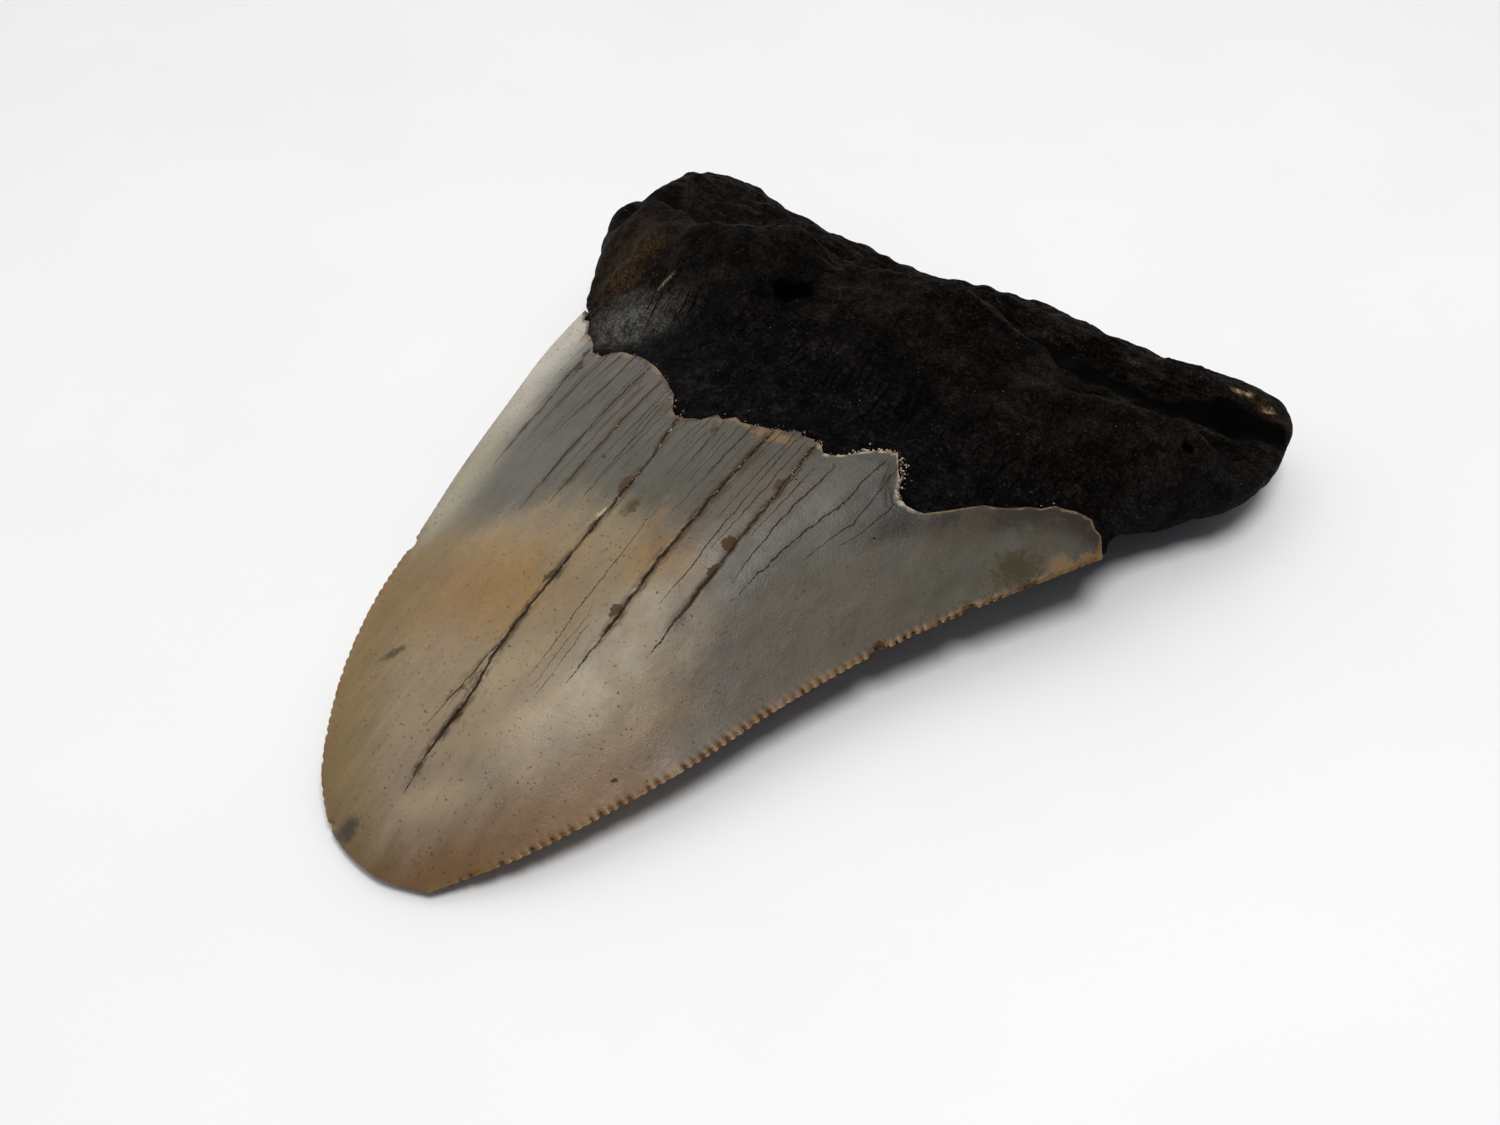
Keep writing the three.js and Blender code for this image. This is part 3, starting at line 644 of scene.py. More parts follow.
def serrate(xy, rows, edge_distance):
    """Moves the cutting edge in at each notch and chip. Returns the places and how notched each is."""
    chance = random.Random(3)
    worn = np.array([chance.uniform(*SERRATION_WEAR) for _ in range(SERRATIONS + 1)])
    width = np.array([chance.uniform(*SERRATION_WIDTH) for _ in range(SERRATIONS + 1)])
    half = xy.shape[1] // 2
    notch = np.zeros(edge_distance.shape)
    inward = np.zeros(xy.shape)
    left_wear = LEFT_WEAR * (1 - 0.8 * ease(rows, 0.35, 0.6))
    middle = xy[:, half]
    for side, edge, wear in ((slice(0, half), xy[:, 0], left_wear), (slice(half, None), xy[:, -1], 1.0)):
        step = np.gradient(edge, axis=0)
        pitch = np.linalg.norm(step, axis=1)
        tangent = step / pitch[:, None]
        along_edge = ((xy[:, side] - edge[:, None]) * tangent[:, None]).sum(-1)
        phase = rows[:, None] * SERRATIONS + along_edge / (pitch * ROWS_PER_SERRATION)[:, None]
        nearest = np.clip(np.round(phase).astype(int), 0, SERRATIONS)
        shape = worn[nearest] * np.exp(-((phase - nearest) / width[nearest]) ** 2)
        strength = (wear * ease(rows, 0, 0.05))[:, None]
        notch[:, side] = shape * strength * np.exp(-(edge_distance[:, side] / NOTCH_REACH) ** 2)
        way = middle - edge
        way = way - (way * tangent).sum(-1, keepdims=True) * tangent
        inward[:, side] = (way / np.linalg.norm(way, axis=-1, keepdims=True))[:, None]
    chip = np.zeros(edge_distance.shape)
    for centre, radius in EDGE_CHIPS:
        reach = radius - np.hypot(xy[..., 0] - centre[0], xy[..., 1] - centre[1])
        chip = np.maximum(chip, np.maximum(reach, 0) * np.exp(-(edge_distance / CHIP_REACH) ** 2))
    depth = SERRATION_DEPTH * notch * np.exp(-(edge_distance / SERRATION_REACH) ** 2) + chip
    return xy + inward * depth[..., None], np.maximum(notch, np.minimum(chip, 1))


# Stains and zones

# Each is a centre, radii along and across its turn, and its turn.
ENAMEL_STAINS = {
    "stain_brown": [
        ((1.2, -19.3), (0.75, 0.45), 1.5), ((-5.9, -19.7), (0.8, 0.35), 1.4),
        ((-6.6, -8.2), (1.1, 0.45), 1.5), ((5.5, -0.2), (0.9, 0.45), 1.4),
        ((-3.4, 1.4), (0.6, 0.35), 1.2), ((-4, -34.7), (1.0, 0.35), 1.5),
        ((-24.4, 5.2), (1.1, 0.45), 1.2), ((-25.2, 7.9), (1.0, 0.3), 1.2),
    ],
    "stain_dark": [((-6.6, -46.5), (1.2, 0.9), 0.9), ((-24, -21.2), (0.9, 0.35), 1.9)],
    "stain_orange": [
        ((-1.45, -10.2), (1.7, 0.35), 1.6), ((1.6, 3.7), (2.0, 0.6), 0.2), ((29.2, 12.1), (1.3, 0.7), 0.9),
        ((31, 14.2), (0.8, 0.6), 0.9), ((-27.6, 10.7), (1.3, 0.5), 1.1), ((6.5, -35.5), (0.5, 0.25), 1.0),
    ],
    "stain_rust": [
        ((5.3, -7.9), (0.85, 0.55), 1.5), ((5.6, -10.8), (0.7, 0.25), 1.5), ((-11.2, -6.2), (0.4, 0.25), 1.5),
        ((9.9, -30.4), (0.28, 0.16), 1.0), ((20.5, -5.4), (0.7, 0.4), 0.7),
    ],
    "stain_olive": [
        ((26.4, 8.9), (2.6, 1.5), 1.0), ((-14.5, -32.2), (1.4, 0.45), 0.9), ((-4.3, -10.2), (1.2, 0.6), 1.4),
    ],
    "stain_pale": [((3.6, -37.7), (0.28, 0.2), 0.7), ((-6.3, -12), (0.9, 0.2), 1.5)],
}
ROOT_STAINS = {
    "stain_tan": [((-30.5, 20.8), (5.2, 4.4), 1.4), ((34.5, 43), (2.2, 1.1), 0.1)],
    "stain_lump": [((-28.4, 18.8), (3.4, 2.2), 1.1)],
    # A painted bluish sheen on the smooth patch at the root's left.
    "painted_sheen_blue": [((-24.5, 13.2), (5.6, 2.6), 0.1)],
    "stain_light": [
        ((32.6, 42.8), (0.55, 0.35), 0.4), ((33.6, 43.1), (0.45, 0.3), 1.2), ((36, 43.2), (0.6, 0.4), 0.8),
        ((-22.1, 17.2), (0.8, 0.2), 0.75),
    ],
    "stain_scaly": [((32.5, 22), (3.2, 1.6), 1.0), ((36.5, 29), (4, 1.2), 1.1)],
}

# The line, seen from above, below which the grey crown turns tan, and how soft it is from left to right.
TAN_LINE = [
    (-32, -24), (-24, -20), (-16, -15), (-9, -12), (-2, -10), (3.5, -11), (9, -19), (13, -28), (16, -38),
    (20, -48),
]
TAN_BLUR = [(-32, 6), (0, 5), (6, 10), (20, 13)]
TAN_WANDER = 1.7
TAN_WANDER_SIZE = 3.5

# Wide zones of colour, each of ovals like the stains.
ZONES = {
    "orange_zone": [((-12.5, -23.5), (10, 6), 0.35), ((2, -12), (5, 2.5), 0.9)],
    # The pale zone is a painted highlight along the lower crown, near the main crack.
    "painted_highlight_zone": [((-1.4, -41), (4.5, 2), 1.1), ((2, -30), (7, 3), 1.2), ((-2.8, -29.5), (8, 2.1), 1.6)],
    "warm_zone": [((4, -7), (9, 4), 1.4), ((12, -16), (8, 4), 1.1)],
    "dim_zone": [((-19, 2), (7, 6), 1.2)],
}


def tan_zone(xy):
    """1 in the tan lower crown, 0 in the grey upper crown and along its right side."""
    x, y = xy[..., 0], xy[..., 1]
    line = straight_table(x, TAN_LINE) + TAN_WANDER * rough(xy * (1.0, 0.5), TAN_WANDER_SIZE, 3, 14.0)
    return ease((line - y) / straight_table(x, TAN_BLUR), -1, 1)


def stain(xy, spots):
    """How strongly each place is stained: 1 at a spot's middle, 0.5 at its edge and 0 at twice its radius."""
    strength = np.zeros(xy.shape[:-1])
    for spot in spots:
        strength = np.maximum(strength, 1 - 0.5 * np.minimum(turned_distance(xy, spot), 2))
    return strength


def crown_side(across, rows, ledge):
    """Along, place, place with the serration cut in, and the values that both sides of the crown have."""
    crown_length = math.dist(*plan(np.full(2, 0.5), np.array([0, 1])))
    along = crown_along(across, rows[:, None], ledge)
    xy = plan(across, along)
    edge = (0.5 - np.abs(across - 0.5)) * crown_width(rows)[:, None]
    moved, notch = serrate(xy, rows, edge)
    gap = (ledge_at(across, ledge) - along) * crown_length
    return along, xy, moved, {"edge_gap": edge, "ledge_gap": gap, "notch": notch, "tan_zone": tan_zone(xy)}


def make_crown(material):
    """The enamel crown: closed, its upper end hidden in the root."""
    shell = Shell()
    rows = np.linspace(0, 1, SERRATIONS * ROWS_PER_SERRATION + 1)
    across = crown_columns(rows)
    along, xy, moved, shared = crown_side(across, rows, tongue_ledge)
    edge = shared["edge_gap"]
    cracks, cut = crack_values(xy)
    near_ledge = np.exp(-shared["ledge_gap"] / LEDGE_CRUMBLE_REACH)
    crumble = near_ledge * np.abs(rough(xy, LEDGE_CRUMBLE_SIZE, 2, 8.0))
    relief = CROWN_RELIEF * rough(xy, CROWN_RELIEF_SIZE, 2, 2.0) - cut - LEDGE_CRUMBLE * crumble
    z = tongue_height(across, along) + relief * ease(edge, 0, EDGE_MARGIN)
    z = z - NOTCH_DIP * shared["notch"] * ease(edge, 0, 0.2)
    width = np.linalg.norm(xy[:, -1] - xy[:, 0], axis=1)[:, None]
    sides = {"left_gap": across * width, "right_gap": (1 - across) * width}
    stains = {name: stain(xy, spots) for name, spots in (ENAMEL_STAINS | ZONES).items()}
    top = shell.add(with_height(moved, z), **shared, **sides, **cracks, **stains)
    shell.sheet(top, True)

    even = 0.5 - 0.5 * np.cos(np.pi * np.linspace(0, 1, LIP_COLUMNS + 1))
    lip_across = np.broadcast_to(even, (len(rows), LIP_COLUMNS + 1))
    lip_along, lip_xy, lip_moved, lip_shared = crown_side(lip_across, rows, lip_ledge)
    lip_z = lip_height(lip_across, lip_along)
    middle = {"left_gap": MIDDLE_GAP, "right_gap": MIDDLE_GAP}
    lip = shell.add(with_height(lip_moved, lip_z), **lip_shared, **middle)
    lip[:, 0], lip[:, -1] = top[:, 0], top[:, -1]
    shell.sheet(lip[1:], False)
    shell.stitch((top[0], across[0]), (lip[1], lip_across[1]), False)

    # The broken end: down from the ledge into the root, and across to the lip side.
    wall_z = z[-1] - WALL_DEPTH * ease(edge[-1], 0, 3)
    wall = shell.add(with_height(xy[-1], wall_z), ledge_gap=-1.0, edge_gap=FAR, **middle)
    wall[0], wall[-1] = top[-1, 0], top[-1, -1]
    shell.sheet(np.stack([top[-1], wall]), True)
    lip_wall_z = lip_z[-1] + LIP_WALL_DEPTH * ease(lip_shared["edge_gap"][-1], 0, 3)
    lip_wall = shell.add(with_height(lip_xy[-1], lip_wall_z), edge_gap=FAR)
    lip_wall[0], lip_wall[-1] = top[-1, 0], top[-1, -1]
    shell.sheet(np.stack([lip[-1], lip_wall]), False)
    shell.stitch((wall, across[-1]), (lip_wall, lip_across[-1]), True)
    return shell.piece("enamel_crown", material)


def step_below(across, along, ledge, step):
    """How far the root lies below the enamel's level, just behind the ledge."""
    at = ledge_at(across, ledge)
    return step * (1 - ease(along, at, at + STEP_FADE)) * (1 - ease(np.abs(2 * across - 1), 0.9, 1))


def root_grid(columns, ledge):
    """Across, along and place of the root's rows and columns. The first rows are tucked under the crown."""
    rows = ROOT_START + (1 - ROOT_START) * np.sin(np.linspace(0, np.pi / 2, ROOT_ROWS + 1))
    even = np.linspace(0, 1, columns + 1)
    across = 0.4 * even + 0.6 * (0.5 - 0.5 * np.cos(np.pi * even))
    across = np.broadcast_to(across, (len(rows), columns + 1))
    along = root_along(across, rows[:, None], ledge)
    xy = plan(across, along)
    tuck = ROOT_TUCK * (1 - ease(along, *TUCK_ALONG)) * ease(np.abs(2 * across - 1), 0.5, 1)
    inward = plan(np.full(along.shape, 0.5), along) - xy
    far = np.maximum(np.linalg.norm(inward, axis=-1, keepdims=True), 1e-6)
    return across, along, xy + inward / far * tuck[..., None]


def warped(xy, along):
    """Makes the root's outline a little uneven, the same on both sides."""
    shift = np.stack([rough(xy, OUTLINE_WANDER_SIZE, 3, seed) for seed in (11.0, 17.0)], -1)
    return xy + OUTLINE_WANDER * shift * ease(along, *WARP_ALONG)[..., None]


def root_texture(xy, along):
    """Fine relief: smooth with small pores in front of the crest, rough and fibrous behind it."""
    behind = ease(along, *BEHIND_CREST)
    height = -PORE_DEPTH * np.maximum(rough(xy, PORE_SIZE, 2, 9.0) - PORE_SHARE, 0)
    for size, stretch, before, more, seed in ROOT_TEXTURE:
        height = height + (before + more * behind) * rough(xy * (stretch, 1.0), size, 3, seed)
    return height


def root_scores():
    """Groups of short parallel scores, as paths and half-widths."""
    chance = random.Random(12)
    scores = []
    for (cx, cy), turn, length, spacing, count, half_width in ROOT_SCORES:
        dx, dy = math.cos(turn), math.sin(turn)
        for number in range(count):
            across = (number - (count - 1) / 2) * spacing * chance.uniform(0.85, 1.15)
            along = chance.gauss(0, 0.3 * length)
            reach = length * chance.uniform(0.5, 1.1) / 2
            x, y = cx - dy * across + dx * along, cy + dx * across + dy * along
            bend = chance.uniform(-0.1, 0.1) * length
            middle = (x - dy * bend, y + dx * bend)
            path = [(x - dx * reach, y - dy * reach), middle, (x + dx * reach, y + dy * reach)]
            scores.append((path, half_width * chance.uniform(0.6, 1.2)))
    return scores


SCORES = root_scores()
SCORE_GROUPS = {"score_a": SCORES[::2], "score_b": SCORES[1::2]}


def make_root(material):
    """The root: closed, its front end hidden in the crown."""
    shell = Shell()
    across, along, xy = root_grid(ROOT_COLUMNS, tongue_ledge)
    at = ledge_at(across, tongue_ledge)
    inner = round_end(2 * across - 1) * round_back(along)
    pits = root_pits(xy)
    z = tongue_height(across, along) - step_below(across, along, tongue_ledge, LEDGE_STEP)
    z = z + (lumps(xy) + ridges(xy, ROOT_RELIEF)) * ease(along, at, at + RELIEF_FADE) * inner - pits
    z = z + root_texture(xy, along) * ease(along, at, at + TEXTURE_FADE) * inner
    z = np.where(along < at, np.minimum(z, tongue_height(across, along) - LEDGE_STEP), z)
    z[:, 0], z[:, -1] = rim_height(along[:, 0]), rim_height(along[:, -1])
    stains = {name: stain(xy, spots) for name, spots in ROOT_STAINS.items()}
    scores = line_values(xy, SCORE_GROUPS, SCORE_TAPER, SCORE_REACH)
    # Painted shade: how much the pits and the crevice are darkened in the root's colour.
    hollow = pits + ridges(xy, CREVICE_SHADE)
    top = shell.add(with_height(warped(xy, along), z), hollow=hollow, **scores, **stains)
    shell.sheet(top, True)

    lip_across, lip_along, lip_xy = root_grid(ROOT_LIP_COLUMNS, lip_ledge)
    lip_at = ledge_at(lip_across, lip_ledge)
    lip_inner = round_end(2 * lip_across - 1) * round_back(lip_along)
    texture = np.maximum(root_texture(lip_xy, lip_along + LIP_TEXTURE_SHIFT) + LIP_TEXTURE_LIFT, 0)
    lip_z = lip_height(lip_across, lip_along) + step_below(lip_across, lip_along, lip_ledge, LIP_LEDGE_STEP)
    lip_z = lip_z + texture * ease(lip_along, lip_at, lip_at + TEXTURE_FADE) * lip_inner
    lip = shell.add(with_height(warped(lip_xy, lip_along), np.maximum(lip_z, 0)))
    lip[:, 0], lip[:, -1] = top[:, 0], top[:, -1]
    shell.sheet(lip[:-1], False)
    shell.stitch((lip[-2], lip_across[-2]), (top[-1], across[-1]), False)
    shell.stitch((top[0], across[0]), (lip[0], lip_across[0]), False)
    return shell.piece("root_body", material)


def grain_spot(chance, ledge, crack):
    """Where a grain lies, seen from above: in a crack if one is given, else on the ledge."""
    if crack:
        place = crack(min(abs(chance.gauss(0, 0.2)), 0.6))
        return place + np.array([chance.gauss(0, 0.1), chance.gauss(0, 0.3)])
    share = chance.choice((chance.random(), chance.gauss(*LEDGE_CROWD), chance.gauss(*LEDGE_CROWD)))
    x, y = ledge(min(max(share, LEDGE_SHARES[0]), LEDGE_SHARES[1]))
    return x + chance.gauss(0, 0.25), y + abs(chance.gauss(0, 0.35)) - 0.05


def grain_scale(x, crack):
    """Grains are largest on the crystalline stretch of the ledge."""
    if crack:
        return 0.5
    return 1 if CRYSTAL_STRETCH[0] < x < CRYSTAL_STRETCH[1] else 0.6


def make_crystals(material):
    """Tiny mineral grains along the broken ledge and in the long cracks."""
    chance = random.Random(21)
    ledge = spline(LEDGE)
    crack_lines = [spline(path) for path, _ in CRYSTAL_CRACKS]
    shares = np.meshgrid(np.linspace(0, 1, GRID_SEARCH), np.linspace(0.4, 1.6, GRID_SEARCH))
    grid, heights = plan(*shares), tongue_height(*shares)
    shell = Shell()
    for number in range(CRYSTALS):
        crack = chance.choice(crack_lines) if number % 3 == 0 else None
        x, y = grain_spot(chance, ledge, crack)
        size = chance.uniform(*CRYSTAL_SIZE) * grain_scale(x, crack)
        nearest = np.argmin(((grid - (x, y)) ** 2).sum(-1))
        centre = Vector((x, y, heights.ravel()[nearest] - (0.03 if crack else 0.5)))
        turn = Euler([chance.uniform(0, math.tau) for _ in range(3)]).to_matrix()
        stretch = Vector([size * chance.uniform(0.6, 1.4) for _ in range(3)])
        numbers = shell.add(np.array([turn @ (Vector(corner) * stretch) + centre for corner in OCTAHEDRON]))
        shell.faces += [[int(numbers[k]) for k in face] for face in OCTAHEDRON_FACES]
    return shell.piece("ledge_grains", material)


# Materials

class Nodes:
    """Short calls for the nodes of a tree."""

    def __init__(self, tree):
        self.tree = tree

    def node(self, kind, inputs=None, **settings):
        made = self.tree.nodes.new("ShaderNode" + kind)
        for key, value in settings.items():
            setattr(made, key, value)
        for key, value in (inputs or {}).items():
            self.feed(made.inputs[key], value)
        return made

    def feed(self, socket, value):
        if isinstance(value, bpy.types.NodeSocket):
            self.tree.links.new(value, socket)
        else:
            socket.default_value = value

    def mask(self, value, low, high, start=0.0, end=1.0):
        """A smooth step from start to end as value goes from low to high."""
        if low > high:
            low, high, start, end = high, low, end, start
        inputs = {"Value": value, "From Min": low, "From Max": high, "To Min": start, "To Max": end}
        return self.node("MapRange", inputs, interpolation_type="SMOOTHSTEP").outputs[0]

    def mix(self, factor, a, b):
        made = self.node("Mix", data_type="RGBA")
        for key, value in ((0, factor), (6, a), (7, b)):
            self.feed(made.inputs[key], value if not isinstance(value, tuple) else (*value, 1))
        return made.outputs[2]


class Look(Nodes):
    """A material under construction. Places and sizes are in millimetres."""

    def __init__(self, name):
        self.material = bpy.data.materials.new(name)
        self.material.use_nodes = True
        super().__init__(self.material.node_tree)
        self.shader = self.tree.nodes["Principled BSDF"]
        self.place = self.stretched(self.node("TexCoord").outputs["Object"], (1 / MM, 1 / MM, 1 / MM))
        self.x, self.y, _ = self.node("SeparateXYZ", {0: self.place}).outputs

    def stretched(self, place, scale, turn=(0, 0, 0)):
        return self.node("Mapping", {"Vector": place, "Scale": scale, "Rotation": turn}).outputs[0]

    def attribute(self, name):
        return self.node("Attribute", attribute_name=name).outputs["Fac"]

    def math(self, operation, *values):
        """One operation over two or more values, from left to right."""
        result = values[0]
        for value in values[1:]:
            result = self.node("Math", {0: result, 1: value}, operation=operation).outputs[0]
        return result

    def times(self, *values):
        return self.math("MULTIPLY", *values)

    def noise(self, size, detail=3.0, roughness=0.55, stretch=(1, 1, 1), turn=0.0):
        """Noise with lumps of the given size, stretched along axes that are turned about z."""
        place = self.stretched(self.place, (1, 1, 1), (0, 0, -turn)) if turn else self.place
        place = self.stretched(place, tuple(1 / (size * k) for k in stretch))
        inputs = {"Vector": place, "Scale": 1.0, "Detail": detail, "Roughness": roughness}
        return self.node("TexNoise", inputs).outputs[0]

    def cells(self, size):
        place = self.stretched(self.place, (1 / size,) * 3)
        return self.node("TexVoronoi", {"Vector": place, "Scale": 1.0}).outputs["Distance"]

    def paint(self, tone, amount):
        """Lays a tone over the colour so far."""
        self.colour = self.mix(amount, self.colour, tone)

    def wash(self, tone, value, low, high, strength=1.0):
        """Lays a tone over the colour so far, more and more as a value goes from low to high."""
        self.paint(tone, self.mask(value, low, high, 0, strength))

    def scale(self, factor):
        """Makes the colour so far darker or brighter."""
        self.colour = self.node("VectorMath", {0: self.colour, "Scale": factor}, operation="SCALE").outputs[0]

    def wandering(self, value, noise_value, reach):
        """A value whose level lines wander by up to about half of reach either way."""
        return self.math("ADD", value, self.times(self.math("SUBTRACT", noise_value, 0.5), reach))

    def washes(self, base, rows, values):
        """Starts the colour anew, from a base with washes over it."""
        self.colour = base
        for tone, follows, ragged, reach, low, high, strength in rows:
            self.wash(tone, self.wandering(values[follows], values[ragged], reach), low, high, strength)
        return self.colour

    def crack(self, group, ragged, reach):
        """Masks of the places inside the cracks of a group and beside them."""
        width = self.attribute("width_" + group)
        gap = self.wandering(self.math("ABSOLUTE", self.attribute("line_" + group), 0.0), ragged, reach)
        here = self.mask(width, 0.003, 0.012)
        share = self.math("DIVIDE", gap, self.math("MAXIMUM", width, 0.02))
        inside = self.times(self.mask(share, 1.2, 0.7), here)
        beside = self.times(self.mask(gap, 0.75, 0.2), here, self.mask(width, 0.03, 0.08))
        return inside, beside

    def bump(self, height, distance, normal=None):
        inputs = {"Height": height, "Distance": distance * MM, "Strength": 1.0}
        if normal:
            inputs["Normal"] = normal
        return self.node("Bump", inputs).outputs[0]

    def finish(self, roughness, normal, specular):
        inputs = self.shader.inputs
        self.feed(inputs["Base Color"], self.colour)
        self.feed(inputs["Roughness"], roughness)
        self.feed(inputs["Normal"], normal)
        self.feed(inputs["Specular IOR Level"], specular)
        return self.material


TIP_TAUPE = (0.205, 0.155, 0.105)
LOWER_TAN = (0.235, 0.172, 0.105)
# A painted highlight: pale tan where the lower crown shines.
PAINTED_HIGHLIGHT_TAN = (0.31, 0.235, 0.14)
MIDDLE_TAN = (0.222, 0.165, 0.095)
MIDDLE_ORANGE = (0.22, 0.128, 0.042)
LEFT_BROWN = (0.15, 0.095, 0.026)
UPPER_GREY = (0.074, 0.068, 0.052)
RIGHT_GREY = (0.1, 0.083, 0.058)
RIGHT_CORNER = (0.082, 0.073, 0.05)
UPPER_WARM = (0.1, 0.076, 0.05)
UPPER_DIM = (0.045, 0.037, 0.025)
RIGHT_DARK = (0.024, 0.017, 0.01)
# The left edge's pale strip: partly the enamel's own pale tone, partly a painted reflection of the bright
# room.
LEFT_PALE_AND_REFLECTION = (0.385, 0.355, 0.29)
LEFT_PALE_LOW_AND_REFLECTION = (0.25, 0.22, 0.15)
UPPER_BLUE = (0.078, 0.08, 0.071)
UPPER_OLIVE = (0.07, 0.058, 0.034)
LOW_RIGHT = (0.16, 0.085, 0.035)
EDGE_ORANGE = (0.165, 0.074, 0.016)
EDGE_TAN = (0.18, 0.105, 0.038)
NOTCH_BROWN = (0.055, 0.03, 0.013)
CRACK_DARK = (0.026, 0.013, 0.004)
CRACK_BROWN = (0.045, 0.026, 0.01)
LEDGE_PALE = (0.42, 0.37, 0.3)
LEDGE_TAN = (0.17, 0.115, 0.065)
LEDGE_BROWN = (0.05, 0.032, 0.018)
DOT_DARK = (0.03, 0.02, 0.012)
DOT_RUST = (0.12, 0.045, 0.012)
THREAD_BROWN = (0.045, 0.033, 0.02)
FINE_BROWN = (0.04, 0.028, 0.016)
SPECK_BROWN = (0.045, 0.026, 0.012)

# Washes of colour: tone, what it follows, the noise that makes its border wander and by how much, where it
# starts and is full, and its strength.
LOWER_WASHES = [
    (LOWER_TAN, "y", "cloud", 18.0, -44, -34, 1.0),
    (MIDDLE_TAN, "y", "cloud", 0.0, -32, -24, 1.0),
    (MIDDLE_ORANGE, "orange_zone", "streak", 0.6, 0.25, 0.9, 1.0),
    # A painted highlight, laid over the lower crown's tan.
    (PAINTED_HIGHLIGHT_TAN, "painted_highlight_zone", "cloud", 0.6, 0.3, 1.0, 0.8),
    (LEFT_BROWN, "left_gap", "streak", 6.0, 13.0, 2.0, 0.92),
    (LOW_RIGHT, "right_gap", "streak", 3.0, 9.0, 2.0, 0.85),
]
UPPER_WASHES = [
    (RIGHT_GREY, "right_gap", "streak", 5.0, 17, 9, 1.0),
    (RIGHT_CORNER, "x", "cloud", 8.0, 14, 22, 1.0),
    (UPPER_WARM, "warm_zone", "cloud", 0.6, 0.2, 1.0, 0.8),
    (UPPER_DIM, "dim_zone", "cloud", 0.6, 0.2, 1.0, 0.8),
]

# Stains of the enamel: tone, strength, and how soft their borders are.
ENAMEL_STAIN_TONES = {
    "stain_brown": ((0.048, 0.022, 0.002), 0.9, 0.08),
    "stain_orange": ((0.19, 0.11, 0.045), 0.75, 0.25),
    "stain_rust": ((0.06, 0.02, 0.0), 1.0, 0.08),
    "stain_olive": ((0.035, 0.025, 0.003), 0.8, 0.25),
    "stain_dark": ((0.036, 0.032, 0.026), 0.85, 0.25),
    "stain_pale": ((0.42, 0.32, 0.18), 0.9, 0.08),
}


